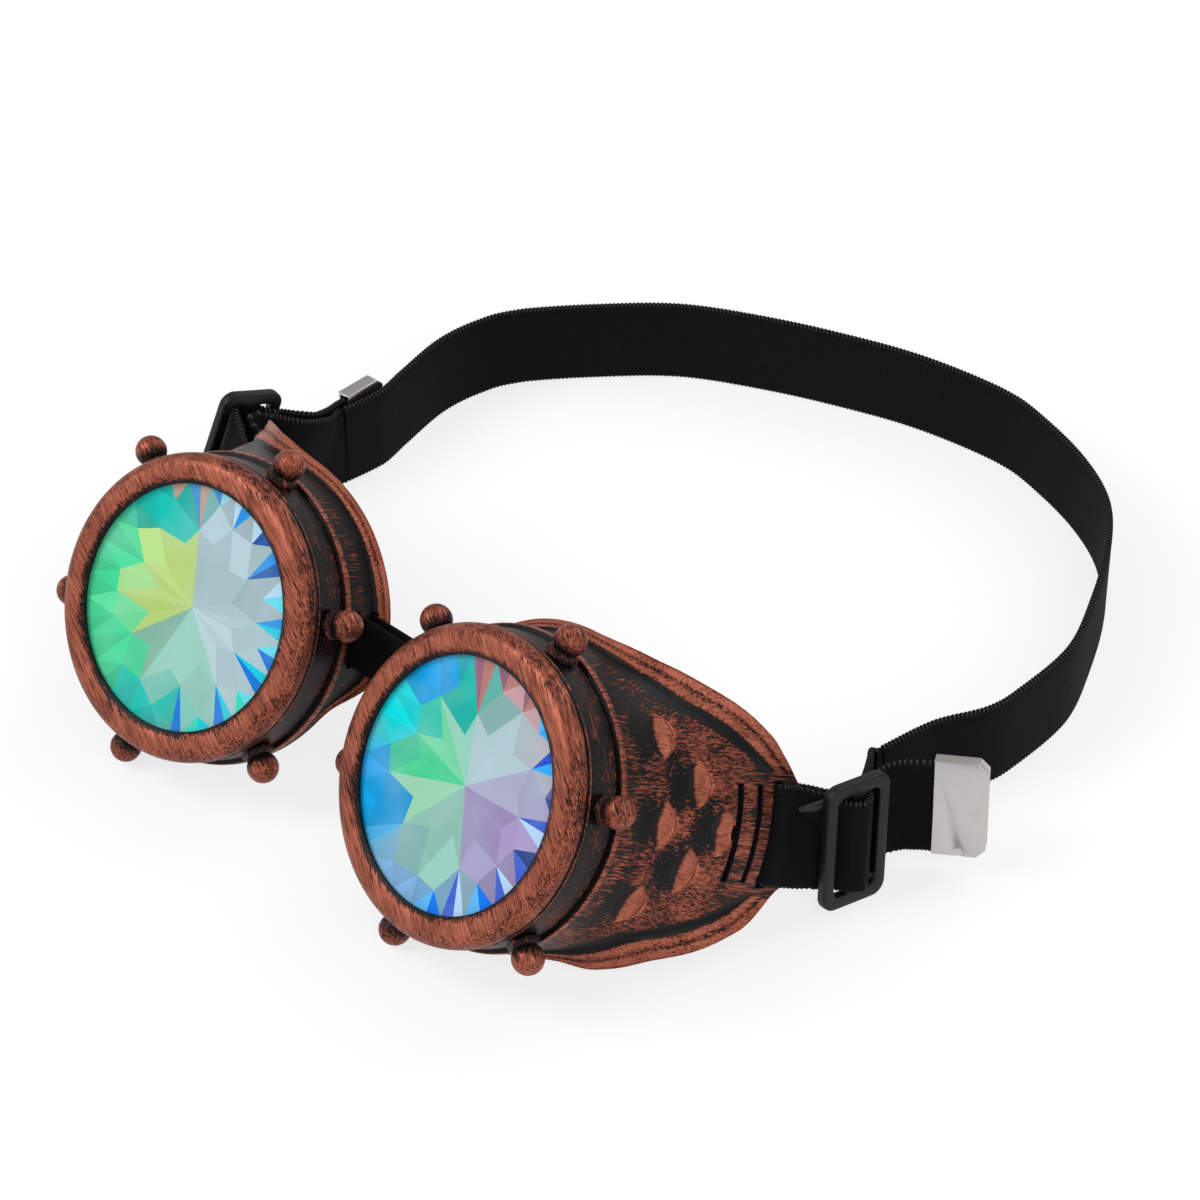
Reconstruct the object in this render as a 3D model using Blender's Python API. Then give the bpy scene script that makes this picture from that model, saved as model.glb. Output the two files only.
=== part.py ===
"""Costume goggles: two screw-fronted eye cups with side shields, a nose band and an elastic head strap.

The goggles stand on a table as they lie when put down: both cups on their lowest studs, tipped back, and the
strap on its edge behind them. +X is the wearer's left, +Y runs back from the lenses, +Z is up.
Each cup has its own frame: x to the temple, y back along the lens axis from the front lip, z up.
"""

import bpy
import bmesh
from math import acos, asin, ceil, cos, pi, radians, sin
from mathutils import Matrix, Vector

MM = 0.001

# Clearances
touch_gap = 0.3 * MM            # between pieces that touch
thread_gap = 0.4 * MM           # over the crest of each thread ridge
cut_over = 2.0 * MM             # how far a cutter runs past what it cuts

# Posture of the pair
lens_spacing = 76.5 * MM        # between the two lip centres
cup_pitch = radians(32.15)      # how far the lens axes point upward
cup_toe_in = radians(5.7)       # how far each lens axis turns to the middle
shield_lift = radians(18.5)     # how far the side shields are raised about the lens axis

# Lens and the ring that seats it
lens_d = 50.0 * MM
lens_edge = 3.0 * MM
lens_land = 2.0 * MM            # flat border of the lens's back
lens_sectors = 12
facet_rise = 1.6 * MM           # from the land to the ring of facet corners
facet_ring_share = 0.65         # radius of that ring in the lens's radius
lens_point = 2.6 * MM           # from the land to the point at the middle
seat_width = 1.7 * MM
seat_height = 1.4 * MM

# Bezel: the screw ring that holds the lens
lip_opening_d = 49.0 * MM
lip_thickness = 1.3 * MM
ring_d = 61.5 * MM              # over the round front ring
ring_depth = 4.1 * MM
bead_height = 0.35 * MM         # thin bead behind the ring
bead_width = 0.7 * MM
band_d = 60.8 * MM              # band that carries the studs
bezel_depth = 12.0 * MM
bezel_wall = 1.6 * MM
lip_round_shares = (0.45, 0.1)  # where the lip's face begins to round off, in its width and its thickness
ring_round_share = 0.7          # how far down its depth the front ring is rounded
ring_edge_share = 0.85          # and where it steps in to the band

# Screw thread between bezel and cup
thread_pitch = 3.0 * MM
thread_height = 0.7 * MM
thread_width = 1.0 * MM
thread_turn = radians(270)
thread_start = radians(3)       # from the side that points to the wearer's left
thread_margin = 0.1 * MM        # from a ridge to the end of its wall
ridge_root = 0.3 * MM           # how deep a ridge is rooted in its wall
crest_share = 0.5               # crest width in the ridge's width

# Ball-headed studs round the bezel
stud_count = 6
stud_back = 8.6 * MM            # behind the lip
stud_ball_d = 6.4 * MM
stud_ball_reach = 34.4 * MM     # lens axis to the ball's centre
stud_nut_d = 7.2 * MM           # across the corners of the six-sided foot
stud_nut_height = 1.5 * MM
stud_neck_d = 4.6 * MM
stud_shank_d = 2.0 * MM
stud_shank = 0.8 * MM
left_stud_turn = radians(22.2)  # how far round each bezel is left
right_stud_turn = radians(43.2)

# Eye cup
spigot_wall = 3.3 * MM
spigot_mouth_depth = 1.6 * MM
rib_gap = 0.4 * MM              # bezel's back edge to the raised rib
rib_width = 1.8 * MM
rib_d = 62.8 * MM
tube_d = 61.2 * MM
tube_back = 14.6 * MM           # where the plain tube begins to widen
cup_wall = 2.0 * MM
cup_flare = 6.6 * MM            # how much the radius grows along the shield
flare_reach = 46.0 * MM         # from the lip to where the shield has its full radius
shield_reach = 60.5 * MM        # the shield's tip behind the lip
rim_flare = 3.0 * MM            # how far the rim turns out
rim_round = 0.7 * MM

# The rim all the way round, by the angle in degrees from the temple over the brow:
# its place behind the lip as a share of the shield's reach, cut well forward under the nose and the cheek,
rim_place_shares = ((0, 1.0), (8, 0.998), (14, 0.983), (19, 0.936), (25, 0.841), (35, 0.702), (45, 0.567),
                    (57, 0.455), (72, 0.413), (117, 0.405), (150, 0.421), (165, 0.417), (171.5, 0.364),
                    (178, 0.304), (186, 0.278), (226, 0.274), (265, 0.274), (275, 0.284), (284, 0.327),
                    (292, 0.405), (301, 0.474), (315, 0.570), (324, 0.699), (334, 0.840), (341, 0.934),
                    (346, 0.987), (352, 0.998))
# how far it turns out as a share of the flare, none under the strap,
rim_flare_shares = ((0, 0.0), (17, 0.0), (28, 1.0), (58, 1.0), (76, 0.72), (165, 0.72), (181, 0.17),
                    (275, 0.17), (292, 0.5), (301, 1.0), (332, 1.0), (343, 0.0))
# and how much of the shield's swell the wall has there
wall_swell_shares = ((0, 1.0), (50, 1.0), (78, 0.25), (282, 0.25), (310, 1.0))

# Section of the raised border: place in its width and share of the turn-out there
border_section_shares = ((0.15, 0.30), (0.60, 0.55), (0.86, 0.85))
inner_flare_share = 0.5         # how far the inside follows the turn-out
inner_round_share = 0.3         # where on the border's width the inside begins to

# Width of the raised border by the rim's place, both as shares of the shield's reach
border_shares = ((0.274, 0.026), (0.413, 0.040), (0.62, 0.116), (1.0, 0.116))

# Scalloped gouges on the shield: place behind the lip and angle from the temple
scallop_places = ((24.3 * MM, radians(30.3)), (24.6 * MM, 0.0), (24.3 * MM, radians(-30.3)),
                  (31.4 * MM, radians(14.1)), (31.4 * MM, radians(-14.1)), (37.4 * MM, 0.0))
scallop_length = 9.4 * MM       # round the cup
scallop_width = 6.4 * MM        # along it
scallop_depth = 0.9 * MM

# Slots in the shield
vent_slot_width = 1.4 * MM
vent_slot_length = 18.9 * MM
first_slot_back = 40.9 * MM
slot_pitch = 5.3 * MM
strap_side_gap = 0.4 * MM       # beside the strap's edges in its slot

# Elastic strap
strap_width = 20.0 * MM
strap_thickness = 1.3 * MM

# Strap adjuster, a plate with three bars
slider_across = 27.0 * MM
slider_along = 15.6 * MM
slider_thickness = 2.2 * MM
slider_bar = 2.6 * MM
slider_end_bar = 2.75 * MM
slider_corner = 3.0 * MM
hump_rise = 0.9 * MM            # slack of the strap over the middle bar

# Where each slider hangs from the shield's tip, as shares of its own length: out, back and up; and its turn,
# swing and lean
slider_place_shares = {1: (0.5513, 0.3974, 0.0833), -1: (0.8846, 0.3333, 0.1923)}
slider_turns = {1: (radians(-11.1), radians(21.7), radians(13.5)),
                -1: (radians(8.3), radians(14.3), radians(7.3))}

# The free end behind each slider, out, along and up in the slider's frame, as shares of its reach; it is
# straight between its last two places
tail_reach = 25.0 * MM
tail_route_shares = {
    1: ((-0.184, 0.432, 0.008), (-0.144, 0.58, 0.044), (-0.032, 0.696, 0.068), (0.3, 0.984, 0.08)),
    -1: ((-0.144, 0.484, 0.008), (-0.184, 0.664, 0.008), (-0.16, 0.816, 0.028), (-0.136, 0.976, 0.064),
         (-0.056, 1.388, 0.208)),
}
tail_upright = {1: 0.0, -1: 1.0}    # how far each free end has turned from the slider's lean to upright

# The strap's way from each slider to the table, out from the inner layer, along and up, as shares of its reach
lead_reach = 20.0 * MM
lead_route_shares = {
    1: ((0.0, 0.15, 0.0), (-0.0075, 0.23, 0.0), (-0.1625, 0.43, 0.0), (-0.3275, 0.62, 0.0)),
    -1: ((0.0, 0.15, 0.0), (-0.0075, 0.23, 0.0), (-0.1375, 0.44, 0.005), (-0.1775, 0.65, 0.005),
         (-0.1375, 0.95, 0.015)),
}
steep_leg = {1: False, -1: True}    # whether the strap leaves its slot steeply outward

# Metal clip on each free strap end
clip_length = 10.6 * MM
clip_sheet = 0.6 * MM
clip_corner = 1.8 * MM
clip_short = 0.3 * MM           # the strap's lower edge shows under the clip
tail_in_clip = 8.2 * MM

# Nose band, a flat loop through slots in both cups
nose_band_width = 10.5 * MM
nose_band_thickness = 1.1 * MM
nose_slot_gap = 0.35 * MM
nose_front_slot_back = 17.4 * MM
nose_slot_spacing = 4.9 * MM
nose_band_rise = 5.5 * MM       # above the lens axes
nose_turn_inside = 3.1 * MM     # inside the wall, to the middle of the band
nose_turn_bulge = 0.5 * MM
nose_leave = 1.2 * MM

# The strap's way round behind the cups: across in shares of the loop's half width, and back in shares of the
# way from between the sliders to the loop's back
loop_half_width = 86.0 * MM
loop_depth = 190.0 * MM
band_route_shares = ((0.888, 0.151), (0.914, 0.2507), (0.970, 0.3329), (0.981, 0.4032), (0.965, 0.5352),
                     (0.888, 0.6569), (0.787, 0.7771), (0.670, 0.8724), (0.519, 0.9355), (0.337, 0.978),
                     (0.186, 0.9941), (-0.056, 0.9736), (-0.272, 0.9282), (-0.476, 0.871), (-0.664, 0.8006),
                     (-0.815, 0.7023), (-0.948, 0.5938), (-0.990, 0.522), (-1.0, 0.434), (-0.964, 0.3153),
                     (-0.945, 0.2566), (-0.956, 0.1818))

# Resolution
around = 40
stud_sides = 12
ball_rows = 5
turn_steps = 6
strap_facets = 4
shield_step = 5                 # degrees between the cup's sections along the shield
rim_step = 10                   # and elsewhere
shield_half = 60                # degrees from the temple that the shield covers
ribbon_step = 5.0 * MM

lens_r = lens_d / 2
lip_r = lip_opening_d / 2
ring_r = ring_d / 2
band_r = band_d / 2
tube_r = tube_d / 2
pocket_r = lens_r + touch_gap
lens_front = lip_thickness + touch_gap
lens_back = lens_front + lens_edge
seat_front = lens_back + touch_gap
seat_back = seat_front + seat_height
spigot_front = seat_back + touch_gap
bore_r = band_r - bezel_wall
spigot_r = bore_r - thread_height - thread_gap
spigot_inner_r = spigot_r - spigot_wall
rib_front = bezel_depth + rib_gap
rib_back = rib_front + rib_width
strap_slot_front = first_slot_back + 2 * slot_pitch - strap_thickness
turn_r = cup_wall / 2 + touch_gap + strap_thickness / 2
strap_slot_back = strap_slot_front + touch_gap + strap_thickness / 2 + turn_r
slider_slot = (slider_along - 3 * slider_bar) / 2
under_bar = slider_thickness / 2 + touch_gap + strap_thickness / 2
layer_step = strap_thickness + touch_gap
inner_layer = -under_bar - layer_step


def round_value(table, angle):
    """The smooth value at an angle from a closed table of (degrees, value)."""
    turn = angle % (2 * pi)
    count = len(table)
    places = [radians(degrees) for degrees, value in table]
    i = max(k for k in range(count) if places[k] <= turn)
    near = [(places[k % count] + 2 * pi * (k // count), table[k % count][1]) for k in range(i - 1, i + 3)]
    (a0, v0), (a1, v1), (a2, v2), (a3, v3) = near
    share = (turn - a1) / (a2 - a1)
    left = (v2 - v0) / (a2 - a0) * (a2 - a1)
    right = (v3 - v1) / (a3 - a1) * (a2 - a1)
    a = 2 * v1 - 2 * v2 + left + right
    b = 3 * v2 - 3 * v1 - 2 * left - right
    return ((a * share + b) * share + left) * share + v1


def edge_back(angle):
    """Place of the rim behind the lip, by angle from the temple."""
    return shield_reach * round_value(rim_place_shares, angle)


def rim_turn_out(angle):
    """How far the rim turns out at an angle."""
    return rim_flare * min(max(round_value(rim_flare_shares, angle), 0.0), 1.0)


def border_width(angle):
    """Width of the raised border, narrow at the nose and broad along the shield."""
    place = edge_back(angle) / shield_reach
    for (low, narrow), (high, wide) in zip(border_shares, border_shares[1:]):
        if place <= high:
            break
    share = min(max((place - low) / (high - low), 0.0), 1.0)
    return shield_reach * (narrow + (wide - narrow) * share)


def shell_radius(back, angle):
    """Outer radius of the cup's wall at a place behind the lip: it widens in one soft swell."""
    share = min(max((back - tube_back) / (flare_reach - tube_back), 0.0), 1.0)
    weight = min(max(round_value(wall_swell_shares, angle), 0.0), 1.0)
    return tube_r + cup_flare * weight * share * share * (3 - 2 * share)


def cup_matrix(side, lift):
    """Frame of a cup without its height: toe-in, pitch and the lift about the lens axis."""
    turn = Matrix.Rotation(-side * cup_toe_in, 4, 'Z')
    tip = Matrix.Rotation(-cup_pitch, 4, 'X')
    roll = Matrix.Rotation(-side * lift, 4, 'Y')
    return Matrix.Translation((side * lens_spacing / 2, 0, 0)) @ turn @ tip @ roll


def rim_point(angle):
    """Outermost point of the rim in the left cup's frame."""
    back = edge_back(angle)
    radius = shell_radius(back, angle) + rim_turn_out(angle)
    return Vector((radius * cos(angle), back, radius * sin(angle)))


def lowest_point():
    """How far the lower of the rim and the studs lies under the lip's centre."""
    rim = min((cup_matrix(1, shield_lift) @ rim_point(radians(a))).z for a in range(360))
    studs = []
    for turn in (left_stud_turn, right_stud_turn):
        for i in range(stud_count):
            angle = turn + 2 * pi * i / stud_count
            ball = Vector((stud_ball_reach * cos(angle), stud_back, stud_ball_reach * sin(angle)))
            studs.append((cup_matrix(1, 0.0) @ ball).z - stud_ball_d / 2)
    return min(rim, *studs)


raised = Matrix.Translation((0, 0, -lowest_point()))
cup_frames = {side: raised @ cup_matrix(side, shield_lift) for side in (1, -1)}
level_frames = {side: raised @ cup_matrix(side, 0.0) for side in (1, -1)}
side_names = {1: 'left', -1: 'right'}


def in_cup(side, x, y, z):
    """A point given in the left cup's frame, on either side, in the goggles' frame."""
    return cup_frames[side] @ Vector((side * x, y, z))


# Meshes

def loft(rings, closed):
    """Join rings of points with faces; an open loft gets a cap on each end."""
    bm = bmesh.new()
    rows = [[bm.verts.new(point) for point in ring] for ring in rings]
    count = len(rings[0])
    joins = len(rows) if closed else len(rows) - 1
    for i in range(joins):
        row = rows[i]
        after = rows[(i + 1) % len(rows)]
        for j in range(count):
            k = (j + 1) % count
            bm.faces.new((row[j], row[k], after[k], after[j]))
    if not closed:
        bm.faces.new(list(reversed(rows[0])))
        bm.faces.new(rows[-1])
    bmesh.ops.recalc_face_normals(bm, faces=bm.faces)
    return bm


def turned(profile, steps):
    """Turn a closed profile of (radius, back) points about the lens axis."""
    bm = bmesh.new()
    verts = [bm.verts.new((radius, back, 0)) for radius, back in profile]
    edges = [bm.edges.new((verts[i], verts[(i + 1) % len(verts)])) for i in range(len(verts))]
    bmesh.ops.spin(bm, geom=verts + edges, cent=(0, 0, 0), axis=(0, 1, 0), angle=2 * pi, steps=steps,
                   use_merge=True)
    bmesh.ops.recalc_face_normals(bm, faces=bm.faces)
    return bm


def block(size, centre):
    """A plain block of the given size about a centre."""
    bm = bmesh.new()
    bmesh.ops.create_cube(bm, size=1)
    bmesh.ops.scale(bm, vec=size, verts=bm.verts)
    bmesh.ops.translate(bm, vec=centre, verts=bm.verts)
    return bm


def material(name, colour, roughness, metallic, alpha):
    """A plain Principled material."""
    made = bpy.data.materials.new(name)
    made.use_nodes = True
    shader = made.node_tree.nodes['Principled BSDF']
    shader.inputs['Base Color'].default_value = (*colour, 1)
    shader.inputs['Roughness'].default_value = roughness
    shader.inputs['Metallic'].default_value = metallic
    shader.inputs['Alpha'].default_value = alpha
    return made


def add_object(name, bm, parent, side=1, finish=None):
    """Make an object of a mesh; the right-hand one is the mirror image."""
    if side < 0:
        bmesh.ops.scale(bm, vec=(-1, 1, 1), verts=bm.verts)
        bmesh.ops.reverse_faces(bm, faces=bm.faces)
    mesh = bpy.data.meshes.new(name)
    bm.to_mesh(mesh)
    bm.free()
    mesh.shade_smooth()
    mesh.set_sharp_from_angle(angle=radians(35))
    made = bpy.data.objects.new(name, mesh)
    bpy.context.collection.objects.link(made)
    made.parent = parent
    if finish:
        mesh.materials.append(finish)
    return made


def add_frame(name, matrix, parent):
    """An empty that carries pieces."""
    made = bpy.data.objects.new(name, None)
    bpy.context.collection.objects.link(made)
    made.parent = parent
    made.matrix_local = matrix
    return made


def boolean(target, name, bm, parent, side, operation):
    """Cut or add a shape with a Boolean modifier."""
    tool = add_object(name, bm, parent, side)
    tool.hide_render = True
    tool.display_type = 'WIRE'
    step = target.modifiers.new(name, 'BOOLEAN')
    step.operation = operation
    step.object = tool
    step.solver = 'EXACT'


# Cup

def cup_profile(angle):
    """Closed section of the cup at one angle, as (radius, back) points."""
    edge = edge_back(angle)
    border = border_width(angle)
    out = rim_turn_out(angle)
    lip = shell_radius(edge, angle)
    recess = edge - border
    rounding = min(rim_round, border * (1 - border_section_shares[-1][0]))
    points = [(spigot_inner_r, spigot_front), (spigot_r, spigot_front), (spigot_r, rib_front),
              (rib_d / 2, rib_front), (rib_d / 2, rib_back), (tube_r, tube_back)]
    for k in range(1, 5):
        back = tube_back + (recess - tube_back) * k / 4
        points.append((shell_radius(back, angle), back))
    for back_share, out_share in border_section_shares:
        back = recess + border * back_share
        points.append((shell_radius(back, angle) + out * out_share, back))
    points.append((lip + out, edge - rounding))
    points.append((lip + out - rounding, edge))
    points.append((lip - cup_wall + out * inner_flare_share + rounding, edge))
    for k in range(3, 0, -1):
        back = tube_back + (edge - border * inner_round_share - tube_back) * k / 3
        points.append((shell_radius(back, angle) - cup_wall, back))
    points.append((tube_r - cup_wall, tube_back))
    points.append((spigot_inner_r, spigot_front + spigot_mouth_depth))
    return points


def thread_ridge(base_r, outward, first_back):
    """One helical ridge, wound as a right-hand thread on both sides, rooted a little in its wall."""
    rings = []
    steps = round(around * thread_turn / (2 * pi))
    for i in range(steps + 1):
        angle = thread_turn * i / steps
        back = first_back - thread_pitch * angle / (2 * pi)
        lead = min(i, steps - i, 2) / 2
        height = ridge_root + (thread_height - ridge_root) * lead
        ring = []
        for radial, axial in ((-ridge_root, -0.5), (height, -crest_share / 2), (height, crest_share / 2),
                              (-ridge_root, 0.5)):
            radius = base_r + outward * radial
            place = back + axial * thread_width
            turn = angle + thread_start
            ring.append(Vector((radius * cos(turn), place, radius * sin(turn))))
        rings.append(ring)
    return loft(rings, False)


def add_scallop(bm, back, angle):
    """Almond-shaped cutter that leaves a gouge, deep in front and running out behind."""
    made = bmesh.ops.create_uvsphere(bm, u_segments=10, v_segments=6, radius=1)['verts']
    bmesh.ops.scale(bm, vec=(scallop_depth, scallop_width / 2, scallop_length / 2), verts=made)
    tilt = Matrix.Rotation(-asin(min(scallop_depth / scallop_width, 1)), 4, 'Z')
    place = Matrix.Rotation(-angle, 4, 'Y') @ Matrix.Translation((shell_radius(back, angle), back, 0)) @ tilt
    bmesh.ops.transform(bm, matrix=place, verts=made)


def add_slot(bm, direction, back, width, length, frame):
    """Cutter for one slot through the cup's wall, on the temple side (1) or the nose side (-1)."""
    through = tube_r + cup_flare + cut_over
    made = bmesh.ops.create_cube(bm, size=1)['verts']
    bmesh.ops.scale(bm, vec=(through / 2, width, length), verts=made)
    place = frame @ Matrix.Translation((direction * through * 3 / 4, back, 0))
    bmesh.ops.transform(bm, matrix=place, verts=made)


def cup_gouges():
    """The gouges of one cup, as one set of separate cutters."""
    bm = bmesh.new()
    for back, angle in scallop_places:
        add_scallop(bm, back, angle)
    return bm


def cup_slots():
    """The slots of one cup, as one set of separate cutters."""
    bm = bmesh.new()
    upright = Matrix.Identity(4)
    for i in range(2):
        add_slot(bm, 1, first_slot_back + i * slot_pitch, vent_slot_width, vent_slot_length, upright)
    middle = (strap_slot_front + strap_slot_back) / 2
    add_slot(bm, 1, middle, strap_slot_back - strap_slot_front, strap_width + 2 * strap_side_gap, upright)
    level = Matrix.Rotation(shield_lift, 4, 'Y') @ Matrix.Translation((0, 0, nose_band_rise))
    for i in range(2):
        back = nose_front_slot_back + i * nose_slot_spacing
        width = nose_band_thickness + 2 * nose_slot_gap
        add_slot(bm, -1, back, width, nose_band_width + 2 * nose_slot_gap, level)
    return bm


def build_cup(side, parent, level, finish):
    """Eye cup with spigot, rib, rim, side shield, gouges and slots."""
    name = 'cup_' + side_names[side]
    rings = []
    sections = list(range(-shield_half, shield_half + 1, shield_step))
    sections += list(range(shield_half + rim_step, 360 - shield_half, rim_step))
    for angle in map(radians, sections):
        ring = []
        for radius, back in cup_profile(angle):
            ring.append(Vector((radius * cos(angle), back, radius * sin(angle))))
        rings.append(ring)
    cup = add_object(name, loft(rings, True), parent, side, finish)
    first = spigot_front + thread_margin + thread_width / 2 + thread_pitch * thread_turn / (2 * pi)
    boolean(cup, name + '_gouges', cup_gouges(), parent, side, 'DIFFERENCE')
    boolean(cup, name + '_slots', cup_slots(), parent, side, 'DIFFERENCE')
    boolean(cup, name + '_thread', thread_ridge(spigot_r, 1, first), level, 1, 'UNION')
    return cup


# Bezel and studs

def bezel_profile():
    """Closed section of the screw ring."""
    ring_mid = (lip_r + ring_r) / 2
    across_share, down_share = lip_round_shares
    points = [(lip_r, lip_thickness), (lip_r, lip_thickness / 2)]
    points += [(lip_r + (ring_mid - lip_r) * across_share, lip_thickness * down_share), (ring_mid, 0)]
    for k in range(1, 5):
        angle = pi / 2 * k / 4
        down = ring_depth * ring_round_share * (1 - cos(angle))
        points.append((ring_mid + (ring_r - ring_mid) * sin(angle), down))
    points += [(ring_r, ring_depth * ring_edge_share), (band_r, ring_depth)]
    bead = ring_depth + bead_width / 2
    points += [(band_r + bead_height, bead), (band_r, ring_depth + bead_width)]
    points += [(band_r, bezel_depth), (bore_r, bezel_depth), (bore_r, spigot_front - touch_gap)]
    points += [(pocket_r, spigot_front - touch_gap), (pocket_r, lip_thickness)]
    return points


def stud_mesh():
    """Ball on a neck on a six-sided foot, with a shank for its hole, standing along +x."""
    foot = band_r + touch_gap
    nut_top = foot + stud_nut_height
    rings = []
    ball_r = stud_ball_d / 2
    neck_r = stud_neck_d / 2
    start = -acos(min(neck_r / ball_r, 1))
    rows = [(foot - stud_shank, stud_shank_d / 2, False), (foot, stud_shank_d / 2, False),
            (foot, stud_nut_d / 2, True), (nut_top, stud_nut_d / 2, True), (nut_top, neck_r, False)]
    for k in range(ball_rows):
        angle = start + (pi / 2 - start) * (k + 1 / 4) / ball_rows
        rows.append((stud_ball_reach + ball_r * sin(angle), ball_r * cos(angle), False))
    for reach, radius, six_sided in rows:
        ring = []
        for j in range(stud_sides):
            angle = 2 * pi * j / stud_sides
            size = radius * cos(pi / 6) if six_sided and j % 2 else radius
            ring.append(Vector((reach, size * cos(angle), size * sin(angle))))
        rings.append(ring)
    return loft(rings, False)


def build_bezel(side, frame, finish):
    """Screw ring with its thread and its blind holes, and the studs pressed in them."""
    label = side_names[side]
    name = 'bezel_' + label
    bezel = add_object(name, turned(bezel_profile(), around), frame, side, finish)
    first = spigot_front + thread_margin + thread_width / 2 + thread_pitch * (thread_turn + pi) / (2 * pi)
    stud_turn = left_stud_turn if side > 0 else right_stud_turn
    holes = bmesh.new()
    hole_r = stud_shank_d / 2 + touch_gap
    depth = stud_shank + touch_gap
    lay = Matrix.Translation((band_r + (cut_over - depth) / 2, 0, 0)) @ Matrix.Rotation(pi / 2, 4, 'Y')
    for i in range(stud_count):
        angle = 2 * pi * i / stud_count + stud_turn
        place = Matrix.Rotation(-angle, 4, 'Y') @ Matrix.Translation((0, stud_back, 0))
        bmesh.ops.create_cone(holes, cap_ends=True, segments=8, radius1=hole_r, radius2=hole_r,
                              depth=depth + cut_over, matrix=place @ lay)
        stud = stud_mesh()
        bmesh.ops.transform(stud, matrix=place, verts=stud.verts)
        add_object('stud_' + label + '_' + str(i + 1), stud, frame, side, finish)
    boolean(bezel, name + '_holes', holes, frame, side, 'DIFFERENCE')
    boolean(bezel, name + '_thread', thread_ridge(bore_r, -1, first), frame, 1, 'UNION')


# Lens

def build_lens(side, frame, glass, rubber):
    """Flat-fronted lens with a cut back, and the soft ring behind its edge."""
    label = side_names[side]
    corners = 2 * lens_sectors
    rows = [(lens_front, lens_r, 0), (lens_back, lens_r, 0), (lens_back, lens_r - lens_land, 0),
            (lens_back + facet_rise, lens_r * facet_ring_share, 1)]
    bm = bmesh.new()
    rings = []
    for back, radius, drawn in rows:
        ring = []
        for j in range(corners):
            angle = 2 * pi * j / corners
            size = radius * (cos(pi / lens_sectors) if drawn and j % 2 else 1)
            ring.append(bm.verts.new((size * cos(angle), back, size * sin(angle))))
        rings.append(ring)
    for row, after in zip(rings, rings[1:]):
        for j in range(corners):
            k = (j + 1) % corners
            bm.faces.new((row[j], row[k], after[k], after[j]))
    bm.faces.new(list(reversed(rings[0])))
    point = bm.verts.new((0, lens_back + lens_point, 0))
    for j in range(corners):
        bm.faces.new((rings[-1][j], rings[-1][(j + 1) % corners], point))
    bmesh.ops.recalc_face_normals(bm, faces=bm.faces)
    add_object('lens_' + label, bm, frame, side, glass)
    ring = [(lens_r, seat_front), (lens_r, seat_back), (lens_r - seat_width, seat_back),
            (lens_r - seat_width, seat_front)]
    add_object('lens_seat_' + label, turned(ring, around), frame, side, rubber)


# Strap

def ribbon(stations, width, thickness, facets=1, closed=False):
    """Flat strip through stations of (centre, width direction, bow of the edges)."""
    rings = []
    count = len(stations)
    places = [2 * k / facets - 1 for k in range(facets + 1)]
    for i, (centre, across, bow) in enumerate(stations):
        before = stations[(i - 1) % count][0] if closed or i else centre
        after = stations[(i + 1) % count][0] if closed or i < count - 1 else centre
        along = (after - before).normalized()
        wide = (across - along * across.dot(along)).normalized()
        face = along.cross(wide)
        low = []
        high = []
        for place in places:
            point = centre + wide * (place * width / 2) + bow * (place * place)
            low.append(point - face * (thickness / 2))
            high.append(point + face * (thickness / 2))
        rings.append(low + list(reversed(high)))
    return loft(rings, closed)


def smooth_route(keys, step):
    """Stations on a soft curve through the keys, each a (centre, width direction, bow of the edges)."""
    route = []
    for i in range(len(keys) - 1):
        p0 = keys[max(i - 1, 0)]
        p1 = keys[i]
        p2 = keys[i + 1]
        p3 = keys[min(i + 2, len(keys) - 1)]
        pieces = max(1, ceil((p2[0] - p1[0]).length / step))
        for k in range(pieces):
            t = k / pieces
            point = []
            for a, b, c, d in zip(p0, p1, p2, p3):
                point.append(0.5 * (2 * b + (c - a) * t + (2 * a - 5 * b + 4 * c - d) * t * t
                                    + (3 * b - 3 * c + d - a) * t * t * t))
            route.append((point[0], point[1].normalized(), point[2]))
    route.append(keys[-1])
    return route


shield_mid_r = shell_radius(shield_reach, 0.0) - cup_wall / 2
strap_bow = (strap_width / 2) ** 2 / (2 * shield_mid_r)
flat = Vector((0, 0, 0))


def slider_matrix(side):
    """Frame of a slider: x out of the strap's face, y along the strap to the back, z across it."""
    out, back, up = [share * slider_along for share in slider_place_shares[side]]
    turn, swing, lean = slider_turns[side]
    place = cup_frames[side] @ Matrix.Translation((side * (shield_mid_r + out), shield_reach + back, up))
    face = Matrix.Rotation(side * turn, 4, 'Z') @ Matrix.Rotation(swing, 4, 'X')
    return place @ face @ Matrix.Rotation(side * lean, 4, 'Y')


slider_frames = {side: slider_matrix(side) for side in (1, -1)}
sliders_back = (slider_frames[1].translation.y + slider_frames[-1].translation.y) / 2


def in_slider(side, out, along, up):
    """A point in a slider's frame, with out counted away from the head on both sides."""
    return slider_frames[side] @ Vector((side * out, along, up))


def width_of(frame):
    """The direction across the strap in a frame."""
    return (frame.to_3x3() @ Vector((0, 0, 1))).normalized()


def outer_weave():
    """Route of the outer layer through the slider, as (out, along): under, over the middle bar, under."""
    slot_end = slider_bar / 2 + slider_slot
    half = [(-under_bar, -slot_end)]
    for k in range(1, 5):
        share = k / 5
        half.append((-under_bar * cos(pi * share), -slider_bar / 2 - slider_slot * (1 - share)))
    half.append((under_bar, -slider_bar / 2))
    back_half = [(out, -along) for out, along in reversed(half)]
    return half + [(under_bar + hump_rise, 0)] + back_half + [(-under_bar, slider_along / 2)]


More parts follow.
